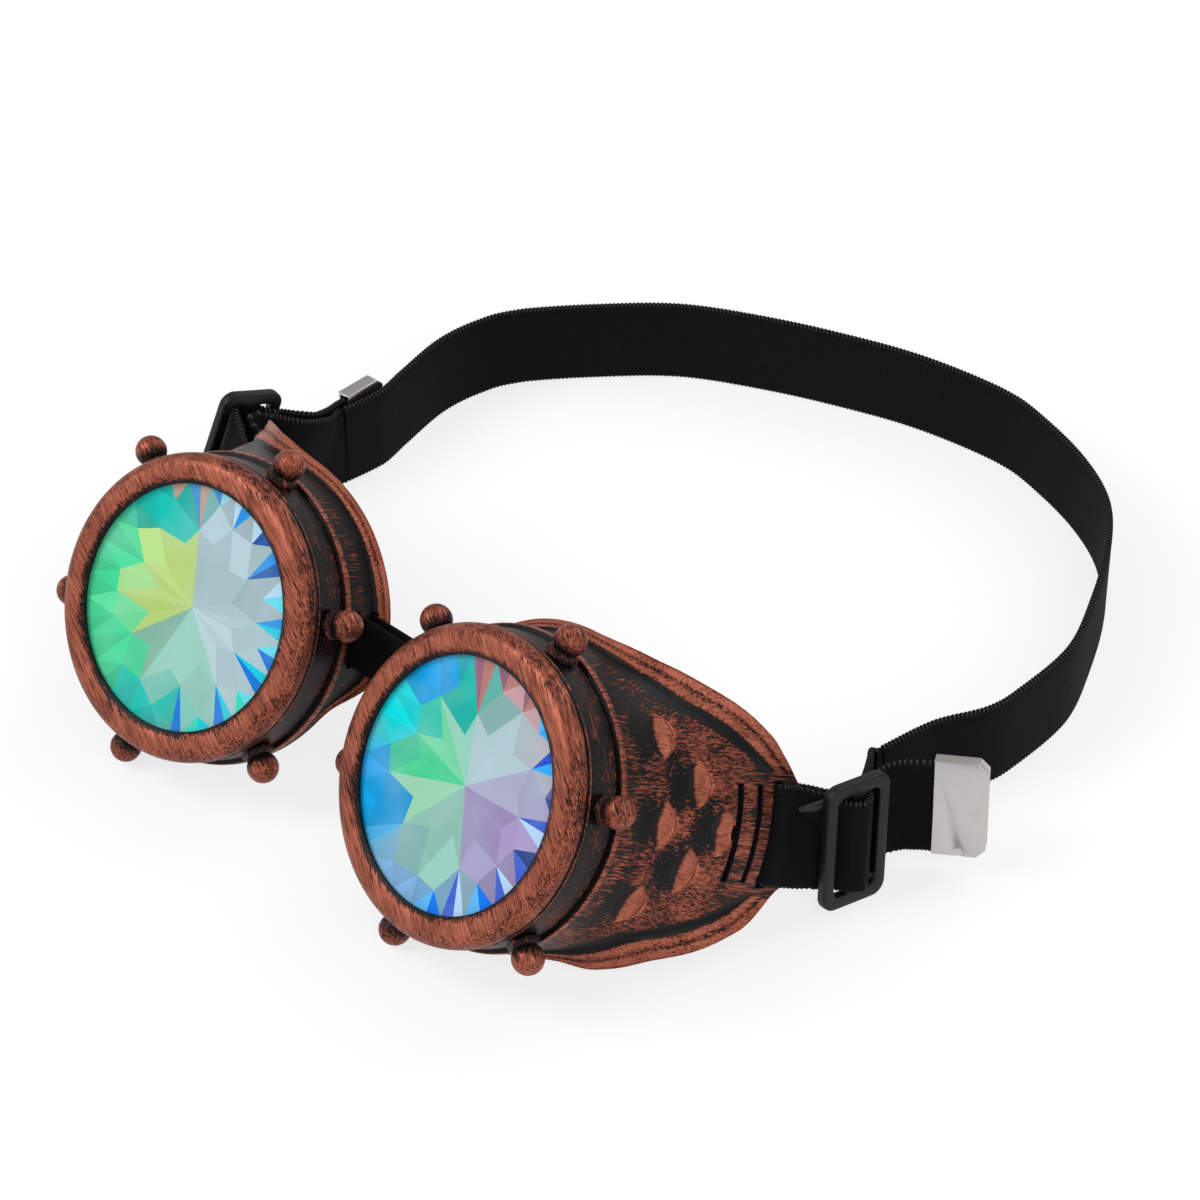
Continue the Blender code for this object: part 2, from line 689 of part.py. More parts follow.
def tail_keys(side):
    """The free end from the slider's back to its tip, straight where the clip sits."""
    lean = width_of(slider_frames[side])
    upright = (lean * (1 - tail_upright[side]) + Vector((0, 0, tail_upright[side]))).normalized()
    *bends, start, tip = [in_slider(side, *[share * tail_reach for share in place])
                          for place in tail_route_shares[side]]
    keys = [(bend, (lean + upright).normalized(), flat) for bend in bends]
    keys += [(start.lerp(tip, k / 3), upright, flat) for k in range(4)]
    return keys


def slot_turn(side):
    """The strap's turn round the bar between its slot and the shield's tip, outside to inside."""
    across = width_of(cup_frames[side])
    bow = cup_frames[side].to_3x3() @ Vector((-side * strap_bow, 0, 0))
    front = strap_slot_front + touch_gap + strap_thickness / 2
    middle = front + turn_r
    halfway = (middle + shield_reach) / 2
    places = [] if steep_leg[side] else [(shield_mid_r + turn_r + touch_gap, halfway)]
    for k in range(2 if steep_leg[side] else 0, turn_steps + 1):
        angle = pi * k / turn_steps
        places.append((shield_mid_r + turn_r * cos(angle), middle - turn_r * sin(angle)))
    places += [(shield_mid_r - turn_r, halfway), (shield_mid_r - turn_r, shield_reach + strap_thickness)]
    return [(in_cup(side, radius, back, 0), across, bow) for radius, back in places]


def build_loop(side, parent, webbing):
    """One piece of strap: free end, weave, turn round the shield's bar, and the inner layer to the slider."""
    across = width_of(slider_frames[side])
    keys = list(reversed(tail_keys(side)))
    weave = outer_weave()[1:] if steep_leg[side] else outer_weave()
    keys += [(in_slider(side, out, along, 0), across, flat) for out, along in reversed(weave)]
    keys += slot_turn(side)
    end = lead_route_shares[side][0][1] * lead_reach - touch_gap
    keys += [(in_slider(side, inner_layer, along, 0), across, flat) for along in (-slider_bar / 2, end)]
    bm = ribbon(smooth_route(keys, ribbon_step), strap_width, strap_thickness, strap_facets)
    add_object('strap_loop_' + side_names[side], bm, parent, 1, webbing)


def band_keys():
    """Places of the strap on the table, left to right, standing on its edge."""
    up = Vector((0, 0, 1))
    keys = []
    for across_share, back_share in band_route_shares:
        back = sliders_back + back_share * (loop_depth - sliders_back)
        foot = Vector((across_share * loop_half_width, back, 0))
        keys.append((foot + up * (strap_width / 2), up, flat))
    return keys


def build_band(parent, webbing):
    """The long stretch round the head, and a lead from it to each slider."""
    route = smooth_route(band_keys(), ribbon_step)
    bm = ribbon(route, strap_width, strap_thickness)
    add_object('strap_band', bm, parent, 1, webbing)
    ends = {1: (route[0], route[1]), -1: (route[-1], route[-2])}
    for side in (1, -1):
        across = width_of(slider_frames[side])
        seam, inward = ends[side]
        away = (seam[0] - inward[0]).normalized()
        last = seam[0] + away * touch_gap
        keys = []
        for place in lead_route_shares[side]:
            out, along, up = [share * lead_reach for share in place]
            keys.append((in_slider(side, inner_layer + out, along, up), across, flat))
        keys += [(last + away * (ribbon_step / 2), seam[1], flat), (last, seam[1], flat)]
        bm = ribbon(smooth_route(keys, ribbon_step), strap_width, strap_thickness)
        add_object('strap_lead_' + side_names[side], bm, parent, 1, webbing)


def build_slider(side, frame, plastic):
    """Plate with three bars, its slots cut through."""
    name = 'slider_' + side_names[side]
    bm = block((slider_thickness, slider_along, slider_across), (0, 0, 0))
    corners = [e for e in bm.edges if abs(e.verts[0].co.x - e.verts[1].co.x) > slider_thickness / 2]
    bmesh.ops.bevel(bm, geom=corners, offset=slider_corner, segments=3, profile=0.5, affect='EDGES')
    slider = add_object(name, bm, frame, 1, plastic)
    for end, along in (('front', -1), ('back', 1)):
        size = (slider_thickness + 2 * cut_over, slider_slot, slider_across - 2 * slider_end_bar)
        centre = (0, along * (slider_bar + slider_slot) / 2, 0)
        boolean(slider, name + '_slot_' + end, block(size, centre), frame, 1, 'DIFFERENCE')


def build_clip(side, parent, steel):
    """Sheet folded over the strap's free end, open below, with the end corners cut off."""
    (before, upright, _), (tip, _, _) = tail_keys(side)[-2:]
    along = (tip - before).normalized()
    wide = (upright - along * upright.dot(along)).normalized()
    face = along.cross(wide)
    inside = strap_thickness / 2 + touch_gap
    outside = inside + clip_sheet
    top = strap_width / 2 + touch_gap
    foot = strap_width / 2 - clip_short
    rings = []
    for reach, cut in ((-tail_in_clip, 0), (clip_length - tail_in_clip - clip_corner, 0),
                       (clip_length - tail_in_clip, clip_corner)):
        low = cut - foot
        fold = top + clip_sheet - cut
        section = ((-outside, low), (-outside, fold), (outside, fold), (outside, low),
                   (inside, low), (inside, top - cut), (-inside, top - cut), (-inside, low))
        rings.append([tip + along * reach + face * off + wide * up for off, up in section])
    add_object('tail_clip_' + side_names[side], loft(rings, False), parent, 1, steel)


def build_nose_band(parent, webbing):
    """Flat loop through both cups' nose slots, round the bar between the slots."""
    across = width_of(level_frames[1])
    keys = []
    outside = tube_r + nose_leave
    inside = tube_r - cup_wall - nose_turn_inside
    front = nose_front_slot_back
    back = nose_front_slot_back + nose_slot_spacing
    half = ((outside, front), (inside, front), (inside - nose_turn_bulge, (front + back) / 2), (inside, back),
            (outside, back))
    for side, places in ((1, half), (-1, tuple(reversed(half)))):
        for radius, place in places:
            keys.append((level_frames[side] @ Vector((-side * radius, place, nose_band_rise)), across, flat))
    keys.append(keys[0])
    bm = ribbon(smooth_route(keys, ribbon_step)[:-1], nose_band_width, nose_band_thickness, closed=True)
    add_object('nose_band', bm, parent, 1, webbing)


# Assembly

def stand_on_origin(root):
    """Move the whole model so that the middle of its underside is the origin."""
    bpy.context.view_layer.update()
    graph = bpy.context.evaluated_depsgraph_get()
    low = Vector((1, 1, 1))
    high = -low
    for item in bpy.context.scene.objects:
        if item.type != 'MESH' or item.hide_render:
            continue
        ready = item.evaluated_get(graph)
        for vertex in ready.data.vertices:
            point = ready.matrix_world @ vertex.co
            low = Vector(map(min, low, point))
            high = Vector(map(max, high, point))
    root.location = (-(low.x + high.x) / 2, -(low.y + high.y) / 2, -low.z)
    bpy.context.view_layer.update()


def main():
    """Build every piece under one root empty."""
    for old in list(bpy.data.objects):
        bpy.data.objects.remove(old)
    copper = material('brushed_copper_plastic', (0.28, 0.09, 0.045), 0.45, 0.3, 1.0)
    webbing = material('black_elastic', (0.008, 0.008, 0.009), 0.9, 0.0, 1.0)
    plastic = material('black_plastic', (0.01, 0.01, 0.011), 0.4, 0.0, 1.0)
    steel = material('nickel_steel', (0.6, 0.6, 0.58), 0.25, 1.0, 1.0)
    rubber = material('seat_rubber', (0.012, 0.012, 0.012), 0.8, 0.0, 1.0)
    glass = material('cut_glass', (0.2, 0.65, 0.75), 0.05, 0.0, 0.6)
    root = add_frame('goggles', Matrix.Identity(4), None)
    for side in (1, -1):
        label = side_names[side]
        cup_frame = add_frame('cup_frame_' + label, cup_frames[side], root)
        lens_frame = add_frame('lens_frame_' + label, level_frames[side], root)
        slider_frame = add_frame('slider_frame_' + label, slider_frames[side], root)
        build_cup(side, cup_frame, lens_frame, copper)
        build_bezel(side, lens_frame, copper)
        build_lens(side, lens_frame, glass, rubber)
        build_slider(side, slider_frame, plastic)
        build_loop(side, root, webbing)
        build_clip(side, root, steel)
    build_band(root, webbing)
    build_nose_band(root, webbing)
    stand_on_origin(root)


main()
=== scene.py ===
"""Dresses the costume goggles: dry-brushed copper cups and rings, cut lenses, knitted elastic, fittings.

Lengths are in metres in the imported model's frame: +X to the wearer's left, +Y back from the lenses, +Z up.
"""

from functools import partial
from math import acos, asin, atan2, ceil, cos, exp, pi, radians, sin, sqrt

import bmesh
import bpy
from mathutils import Matrix, Vector


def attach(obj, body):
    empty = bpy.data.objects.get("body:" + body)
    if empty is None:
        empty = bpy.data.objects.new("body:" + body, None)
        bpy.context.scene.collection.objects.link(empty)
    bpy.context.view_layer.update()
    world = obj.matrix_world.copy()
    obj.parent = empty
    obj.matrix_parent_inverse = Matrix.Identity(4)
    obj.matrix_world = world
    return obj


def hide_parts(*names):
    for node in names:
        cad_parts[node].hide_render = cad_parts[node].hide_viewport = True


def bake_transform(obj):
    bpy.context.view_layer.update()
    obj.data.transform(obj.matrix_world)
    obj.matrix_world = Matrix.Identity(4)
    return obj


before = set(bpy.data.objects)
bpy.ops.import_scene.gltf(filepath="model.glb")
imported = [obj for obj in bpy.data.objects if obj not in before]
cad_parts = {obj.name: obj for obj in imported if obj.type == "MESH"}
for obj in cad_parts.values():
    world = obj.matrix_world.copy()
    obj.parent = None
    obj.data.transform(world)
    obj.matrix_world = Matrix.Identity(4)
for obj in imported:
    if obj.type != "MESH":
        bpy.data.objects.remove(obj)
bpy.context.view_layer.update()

MM = 0.001

# Posture of the pair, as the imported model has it
middle_x = -2.786 * MM
lips_y = -87.266 * MM
lips_z = 36.632 * MM
lens_spacing = 76.5 * MM
cup_pitch = radians(32.15)
cup_toe_in = radians(5.7)
shield_lift = radians(18.5)

# Lens
lens_d = 50.0 * MM
lens_edge = 3.0 * MM
lens_land = 2.0 * MM
facet_rise = 1.6 * MM
facet_ring_share = 0.65
lens_point = 2.6 * MM

# Bezel
lip_opening_d = 49.0 * MM
lip_thickness = 1.3 * MM
ring_d = 61.5 * MM
ring_depth = 4.1 * MM
bead_height = 0.35 * MM
bead_width = 0.7 * MM
band_d = 60.8 * MM
bezel_depth = 12.0 * MM
bezel_wall = 1.6 * MM
touch_gap = 0.3 * MM
thread_gap = 0.4 * MM
thread_height = 0.7 * MM

# Studs
stud_count = 6
stud_back = 8.6 * MM
stud_ball_d = 6.4 * MM
stud_ball_reach = 34.4 * MM
stud_nut_d = 7.2 * MM
stud_nut_height = 1.5 * MM
stud_neck_d = 4.6 * MM
stud_turns = {1: radians(22.2), -1: radians(43.2)}

# Cup
spigot_wall = 3.3 * MM
spigot_mouth_depth = 1.6 * MM
seat_height = 1.4 * MM
rib_gap = 0.4 * MM
rib_width = 1.8 * MM
rib_d = 62.8 * MM
tube_d = 61.2 * MM
tube_back = 14.6 * MM
cup_wall = 2.0 * MM
cup_flare = 6.6 * MM
flare_reach = 46.0 * MM
shield_reach = 60.5 * MM
rim_flare = 3.0 * MM
rim_round = 0.7 * MM
rim_place_shares = ((0, 1.0), (8, 0.998), (14, 0.983), (19, 0.936), (25, 0.841), (35, 0.702), (45, 0.567),
                    (57, 0.455), (72, 0.413), (117, 0.405), (150, 0.421), (165, 0.417), (171.5, 0.364),
                    (178, 0.304), (186, 0.278), (226, 0.274), (265, 0.274), (275, 0.284), (284, 0.327),
                    (292, 0.405), (301, 0.474), (315, 0.570), (324, 0.699), (334, 0.840), (341, 0.934),
                    (346, 0.987), (352, 0.998))
rim_flare_shares = ((0, 0.0), (17, 0.0), (28, 1.0), (58, 1.0), (76, 0.72), (165, 0.72), (181, 0.17),
                    (275, 0.17), (292, 0.5), (301, 1.0), (332, 1.0), (343, 0.0))
wall_swell_shares = ((0, 1.0), (50, 1.0), (78, 0.25), (282, 0.25), (310, 1.0))
border_shares = ((0.274, 0.026), (0.413, 0.040), (0.62, 0.116), (1.0, 0.116))
border_section_shares = ((0.05, 0.04), (0.12, 0.24), (0.18, 0.31), (0.35, 0.40), (0.55, 0.49), (0.63, 0.58),
                         (0.70, 0.70), (0.78, 0.80), (0.88, 0.90))
inner_flare_share = 0.5
inner_round_share = 0.3

# Gouges and slots
scallop_places = ((24.3 * MM, radians(30.3)), (24.6 * MM, 0.0), (24.3 * MM, radians(-30.3)),
                  (31.4 * MM, radians(14.1)), (31.4 * MM, radians(-14.1)), (37.4 * MM, 0.0))
scallop_length = 9.4 * MM
scallop_width = 6.4 * MM
scallop_depth = 0.9 * MM
vent_slot_width = 1.4 * MM
vent_slot_length = 18.9 * MM
first_slot_back = 40.9 * MM
slot_pitch = 5.3 * MM
strap_side_gap = 0.4 * MM

# Strap and its fittings
strap_width = 20.0 * MM
strap_thickness = 1.3 * MM
slider_across = 27.0 * MM
slider_along = 15.6 * MM
slider_thickness = 2.2 * MM
slider_bar = 2.6 * MM
slider_end_bar = 2.75 * MM
slider_corner = 3.0 * MM
hump_rise = 0.9 * MM
slider_places = {1: (44.8 * MM, 66.7 * MM, 1.3 * MM), -1: (50.0 * MM, 65.7 * MM, 3.0 * MM)}
slider_turns = {1: (radians(-11.1), radians(21.7), radians(13.5)),
                -1: (radians(8.3), radians(14.3), radians(7.3))}
tail_routes = {
    1: ((-4.6 * MM, 10.8 * MM, 0.2 * MM), (-3.6 * MM, 14.5 * MM, 1.1 * MM), (-0.8 * MM, 17.4 * MM, 1.7 * MM),
        (7.5 * MM, 24.6 * MM, 2.0 * MM)),
    -1: ((-3.6 * MM, 12.1 * MM, 0.2 * MM), (-4.6 * MM, 16.6 * MM, 0.2 * MM), (-4.0 * MM, 20.4 * MM, 0.7 * MM),
         (-3.4 * MM, 24.4 * MM, 1.6 * MM), (-1.4 * MM, 34.7 * MM, 5.2 * MM)),
}
tail_upright = {1: 0.0, -1: 1.0}
lead_routes = {
    1: ((-3.65 * MM, 3.0 * MM, 0.0), (-3.8 * MM, 4.6 * MM, 0.0), (-6.9 * MM, 8.6 * MM, 0.0),
        (-10.2 * MM, 12.4 * MM, 0.0)),
    -1: ((-3.65 * MM, 3.0 * MM, 0.0), (-3.8 * MM, 4.6 * MM, 0.0), (-6.4 * MM, 8.8 * MM, 0.1 * MM),
         (-7.2 * MM, 13.0 * MM, 0.1 * MM), (-6.4 * MM, 19.0 * MM, 0.3 * MM)),
}
steep_leg = {1: False, -1: True}
tail_in_clip = 8.2 * MM
clip_length = 10.6 * MM

# Nose band
nose_band_width = 10.5 * MM
nose_band_thickness = 1.1 * MM
nose_slot_gap = 0.35 * MM
nose_front_slot_back = 17.4 * MM
nose_slot_spacing = 4.9 * MM
nose_band_rise = 5.5 * MM
nose_turn_inside = 3.1 * MM
nose_turn_bulge = 0.5 * MM
nose_leave = 1.2 * MM

# The strap's way round behind the cups
loop_half_width = 86.0 * MM
loop_depth = 190.0 * MM
band_route_shares = ((0.888, 0.421), (0.914, 0.489), (0.970, 0.545), (0.981, 0.593), (0.965, 0.683),
                     (0.888, 0.766), (0.787, 0.848), (0.670, 0.913), (0.519, 0.956), (0.337, 0.985),
                     (0.186, 0.996), (-0.056, 0.982), (-0.272, 0.951), (-0.476, 0.912), (-0.664, 0.864),
                     (-0.815, 0.797), (-0.948, 0.723), (-0.990, 0.674), (-1.0, 0.614), (-0.964, 0.533),
                     (-0.945, 0.493), (-0.956, 0.442))

lens_r = lens_d / 2
lip_r = lip_opening_d / 2
ring_r = ring_d / 2
band_r = band_d / 2
tube_r = tube_d / 2
pocket_r = lens_r + touch_gap
lens_front = lip_thickness + touch_gap
lens_back = lens_front + lens_edge
spigot_front = lens_back + touch_gap + seat_height + touch_gap
bore_r = band_r - bezel_wall
spigot_r = bore_r - thread_height - thread_gap
spigot_inner_r = spigot_r - spigot_wall
rib_front = bezel_depth + rib_gap
rib_back = rib_front + rib_width
strap_slot_front = first_slot_back + 2 * slot_pitch - strap_thickness
turn_r = cup_wall / 2 + touch_gap + strap_thickness / 2
strap_slot_back = strap_slot_front + touch_gap + strap_thickness / 2 + turn_r
slider_slot = (slider_along - 3 * slider_bar) / 2
under_bar = slider_thickness / 2 + touch_gap + strap_thickness / 2
layer_step = strap_thickness + touch_gap
side_names = {1: 'left', -1: 'right'}
flat = Vector((0, 0, 0))


def round_value(table, angle):
    """The smooth value at an angle from a closed table of (degrees, value)."""
    turn = angle % (2 * pi)
    count = len(table)
    places = [radians(degrees) for degrees, value in table]
    i = max(k for k in range(count) if places[k] <= turn)
    (a0, v0), (a1, v1), (a2, v2), (a3, v3) = [
        (places[k % count] + 2 * pi * (k // count), table[k % count][1]) for k in range(i - 1, i + 3)]
    share = (turn - a1) / (a2 - a1)
    left = (v2 - v0) / (a2 - a0) * (a2 - a1)
    right = (v3 - v1) / (a3 - a1) * (a2 - a1)
    a = 2 * v1 - 2 * v2 + left + right
    b = 3 * v2 - 3 * v1 - 2 * left - right
    return ((a * share + b) * share + left) * share + v1


def soft_step(low, high, value):
    """0 below low, 1 above high, smooth between."""
    share = min(max((value - low) / (high - low), 0.0), 1.0)
    return share * share * (3 - 2 * share)


def edge_back(angle):
    """Place of the rim behind the lip, by angle from the temple."""
    return shield_reach * round_value(rim_place_shares, angle)


def rim_turn_out(angle):
    """How far the rim turns out at an angle."""
    return rim_flare * min(max(round_value(rim_flare_shares, angle), 0.0), 1.0)


def border_width(angle):
    """Width of the raised border."""
    place = edge_back(angle) / shield_reach
    for (low, narrow), (high, wide) in zip(border_shares, border_shares[1:]):
        if place <= high:
            break
    share = min(max((place - low) / (high - low), 0.0), 1.0)
    return shield_reach * (narrow + (wide - narrow) * share)


def shell_radius(back, angle):
    """Outer radius of the cup's wall at a place behind the lip."""
    weight = min(max(round_value(wall_swell_shares, angle), 0.0), 1.0)
    return tube_r + cup_flare * weight * soft_step(tube_back, flare_reach, back)


def cup_matrix(side, lift):
    """Frame of a cup at its lip's centre: x to the temple on the left, y back along the lens axis, z up."""
    turn = Matrix.Rotation(-side * cup_toe_in, 4, 'Z')
    tip = Matrix.Rotation(-cup_pitch, 4, 'X')
    roll = Matrix.Rotation(-side * lift, 4, 'Y')
    return Matrix.Translation((middle_x + side * lens_spacing / 2, lips_y, lips_z)) @ turn @ tip @ roll


cup_frames = {side: cup_matrix(side, shield_lift) for side in (1, -1)}
level_frames = {side: cup_matrix(side, 0.0) for side in (1, -1)}


# Materials

# Dry-brushed paint: the bristles' tracks, and the patches and grain of the film
bristle_track = 0.36 * MM
stroke_length = 8.0 * MM
fine_track = 0.17 * MM
fine_stroke = 4.0 * MM
track_roughness = 0.62
paint_patch = 6.0 * MM
paint_grain = 0.35 * MM
paint_film = 0.08 * MM
stroke_break = 2.4              # how far strokes, single hairs and patches break up the cover
hair_break = 1.6
patch_break = 0.9
cover_range = (0.42, 0.60)      # amounts of paint from bare to covered, and from thin to thick
thick_range = (0.45, 1.45)
tone_by_thick = (0.9, -0.3)     # share of the light copper, as a slope and a start
tone_by_grain = 0.45
paint_metal = 0.4               # the film is metal flake in a dull binder
paint_gloss = 0.16
paint_roughness = (0.2, 0.3)
film_relief = 0.7
hair_relief = 0.8
abs_black = '#0e0c0e'
copper_deep = '#763a2b'
copper_light = '#b96c54'

# Knit of the strap; its rows are drawn a little wider than the real 0.6 mm so that they show
knit_row = 0.9 * MM
knit_column = 1.1 * MM
knit_relief = 0.12 * MM
filament = 0.25 * MM
selvedge = 0.9 * MM
loop_lean = 0.9                 # how far the loops of a row lean along the strap
loop_relief = 0.6
fuzz_relief = 0.5
speck_range = (0.66, 0.74)
speck_share = 0.35
whip_range = (0.1, 0.9)
whip_share = 0.8
elastic_deep = '#020203'
elastic_face = '#0c0b0e'
elastic_thread = '#3c3b40'

# Fittings, seat and lens
tool_grain = 0.3 * MM
tool_relief = 0.03 * MM
plastic_roughness = (0.2, 0.36)
plastic_deep = '#09090a'
plastic_face = '#111113'
plate_haze = 2.5 * MM
plate_roughness = (0.05, 0.26)
nickel_deep = '#bdb8b5'
nickel_light = '#c9c5c2'
# painted shade in the clip's dimple
dimple_painted_shade = '#1c1a1a'
rubber_deep = '#121213'
rubber_dusty = '#222224'
film_drift = 9.0 * MM
film_fade = (0.4, -0.17)        # how far a tint pales to one side, as a slope and a start
film_pale = '#b9d6e4'

# Settings of the nodes that mix two colours, and of those that step softly between two places
colours = {'output': 2, 'data_type': 'RGBA'}
soft = {'interpolation_type': 'SMOOTHSTEP'}


def linear(code):
    """An sRGB hex value as linear colour."""
    parts = [int(code[i:i + 2], 16) / 255 for i in (1, 3, 5)]
    return tuple(c / 12.92 if c <= 0.04045 else ((c + 0.055) / 1.055) ** 2.4 for c in parts) + (1.0,)


def fill(node, inputs):
    """Set a node's inputs by name or number, and link those that are given a socket."""
    for key, value in inputs.items():
        if isinstance(value, bpy.types.NodeSocket):
            node.id_data.links.new(value, node.inputs[key])
        else:
            node.inputs[key].default_value = value


def add_node(tree, kind, inputs=(), output=0, **settings):
    """Add a node with its settings and links, and return one of its outputs."""
    made = tree.nodes.new('ShaderNode' + kind)
    for name, value in settings.items():
        setattr(made, name, value)
    fill(made, inputs if isinstance(inputs, dict) else dict(enumerate(inputs)))
    return made.outputs[output]


def new_material(name, roughness, metallic=0.0):
    """A material, the means to add a node to it, and its one Principled shader."""
    made = bpy.data.materials.new(name)
    made.use_nodes = True
    shader = made.node_tree.nodes['Principled BSDF']
    fill(shader, {'Roughness': roughness, 'Metallic': metallic})
    return made, partial(add_node, made.node_tree), shader


def mottled(add, size, detail, deep, light):
    """A fine noise fixed to the piece, and two colours mixed by it."""
    coords = add('TexCoord', output='Object')
    noise = add('TexNoise', {'Vector': coords, 'Scale': 1 / size, 'Detail': detail})
    return noise, add('Mix', {0: noise, 6: linear(deep), 7: linear(light)}, **colours)


def brushed_copper(name, place, lay):
    """Black ABS dry-brushed with copper paint. The brush leaves copper on what stands proud, in broken
    streaks along its stroke, and the moulded black shows in every recess and between the tracks."""
    made, add, shader = new_material(name, 0.4)
    coords = add('TexCoord', output='Object')
    local = add('Mapping', {'Vector': coords, 'Location': place.translation,
                            'Rotation': place.to_euler('XYZ')}, vector_type='TEXTURE')
    laid = add('Mapping', {'Vector': local, 'Rotation': lay})
    tracks = []
    for width, length, detail in ((bristle_track, stroke_length, 3.0), (fine_track, fine_stroke, 2.0)):
        scale = (1 / width, 1 / length, 1 / width)
        stretched = add('VectorMath', (laid, scale), operation='MULTIPLY')
        tracks.append(add('TexNoise', {'Vector': stretched, 'Scale': 1.0, 'Detail': detail,
                                       'Roughness': track_roughness}))
    strokes, hairs = tracks
    patches = add('TexNoise', {'Vector': coords, 'Scale': 1 / paint_patch, 'Detail': 2.0})
    grain = add('TexNoise', {'Vector': coords, 'Scale': 1 / paint_grain, 'Detail': 3.0})
    amount = add('Attribute', output='Fac', attribute_name='paint')
    for noise, strength in ((strokes, stroke_break), (hairs, hair_break), (patches, patch_break)):
        centred = add('Math', (noise, 0.5), operation='SUBTRACT')
        amount = add('Math', (centred, strength, amount), operation='MULTIPLY_ADD')
    cover = add('MapRange', (amount, *cover_range), **soft)
    thick = add('MapRange', (amount, *thick_range), **soft)
    tone = add('Math', (thick, *tone_by_thick), operation='MULTIPLY_ADD')
    tone = add('Math', (grain, tone_by_grain, tone), operation='MULTIPLY_ADD', use_clamp=True)
    copper = add('Mix', {0: tone, 6: linear(copper_deep), 7: linear(copper_light)}, **colours)
    colour = add('Mix', {0: cover, 6: linear(abs_black), 7: copper}, **colours)
    hair_height = add('Math', (hairs, hair_relief), operation='MULTIPLY')
    relief = add('Math', (cover, film_relief, hair_height), operation='MULTIPLY_ADD')
    fill(shader, {
        'Base Color': colour,
        'Metallic': add('Math', (cover, paint_metal), operation='MULTIPLY'),
        'Roughness': add('Math', (grain, *paint_roughness), operation='MULTIPLY_ADD'),
        'Specular IOR Level': paint_gloss,
        'Normal': add('Bump', {'Height': relief, 'Strength': 0.6, 'Distance': paint_film})})
    return made


def knitted_elastic():
    """Covered rubber knitted with black polyester: rows of small loops across the strap, with no gloss, and
    the odd bare filament that catches the light. Its selvedge is whipped, a pale thread at every turn."""
    made, add, shader = new_material('knitted_elastic', 0.85)
    coords = add('TexCoord', output='Object')
    along = add('Attribute', output='Fac', attribute_name='along')
    across = add('Attribute', output='Fac', attribute_name='across')
    row_turn = add('Math', (along, 2 * pi / knit_row), operation='MULTIPLY')
    column_turn = add('Math', (across, 2 * pi / knit_column), operation='MULTIPLY')
    lean = add('Math', (column_turn,), operation='SINE')
    leaning = add('Math', (lean, loop_lean, row_turn), operation='MULTIPLY_ADD')
    stitch = add('Math', (leaning,), operation='SINE')
    column = add('Math', (column_turn,), operation='COSINE')
    loops = add('Math', (stitch, column), operation='MULTIPLY')
    fuzz = add('TexNoise', {'Vector': coords, 'Scale': 1 / filament, 'Detail': 2.0})
    # painted shade: the knit is darker between its loops and lighter on their tops, mixed with the fuzz
    lift = add('Math', (loops, 0.5, 0.5), operation='MULTIPLY_ADD')
    tone = add('Math', (lift, fuzz), operation='MULTIPLY')
    body = add('Mix', {0: tone, 6: linear(elastic_deep), 7: linear(elastic_face)}, **colours)
    specks = add('MapRange', (fuzz, *speck_range), **soft)
    rows = add('Math', (row_turn,), operation='SINE')
    whips = add('MapRange', (rows, *whip_range), **soft)
    off = add('Math', (across,), operation='ABSOLUTE')
    edge = add('MapRange', (off, strap_width / 2 - selvedge, strap_width / 2 - selvedge / 3), **soft)
    dots = add('Math', (edge, whips), operation='MULTIPLY')
    for bare, strength in ((specks, speck_share), (dots, whip_share)):
        share = add('Math', (bare, strength), operation='MULTIPLY')
        body = add('Mix', {0: share, 6: body, 7: linear(elastic_thread)}, **colours)
    fuzz_height = add('Math', (fuzz, fuzz_relief), operation='MULTIPLY')
    height = add('Math', (loops, loop_relief, fuzz_height), operation='MULTIPLY_ADD')
    fill(shader, {
        'Base Color': body,
        'Specular IOR Level': 0.15,
        'Normal': add('Bump', {'Height': height, 'Strength': 0.8, 'Distance': knit_relief})})
    return made


def moulded_plastic():
    """Black polypropylene, moulded in a spark-eroded tool: an even satin face with a very fine grain."""
    made, add, shader = new_material('moulded_plastic', 0.42)
    grain, colour = mottled(add, tool_grain, 2.0, plastic_deep, plastic_face)
    fill(shader, {
        'Base Color': colour,
        'Roughness': add('Math', (grain, *plastic_roughness), operation='MULTIPLY_ADD'),
        'Specular IOR Level': 0.3,
        'Normal': add('Bump', {'Height': grain, 'Strength': 0.4, 'Distance': tool_relief})})
    return made


def nickel_plate():
    """Nickel-plated steel sheet: a warm grey mirror a little blurred by the sheet's rolling marks, with
    painted shade dark in the punched dimple."""
    made, add, shader = new_material('nickel_plate', 0.24, 1.0)
    haze, plate = mottled(add, plate_haze, 3.0, nickel_deep, nickel_light)
    # the dimple's faces, coloured dark as painted shade
    dimple = add('Attribute', output='Fac', attribute_name='dimple')
    fill(shader, {
        'Base Color': add('Mix', {0: dimple, 6: plate, 7: linear(dimple_painted_shade)}, **colours),
        'Roughness': add('Math', (haze, *plate_roughness), operation='MULTIPLY_ADD')})
    return made


def seat_rubber():
    """Nitrile rubber, moulded: matt black, a little dusty."""
    made, add, shader = new_material('nitrile_rubber', 0.8)
    fill(shader, {'Base Color': mottled(add, plate_haze, 3.0, rubber_deep, rubber_dusty)[1]})
    return made


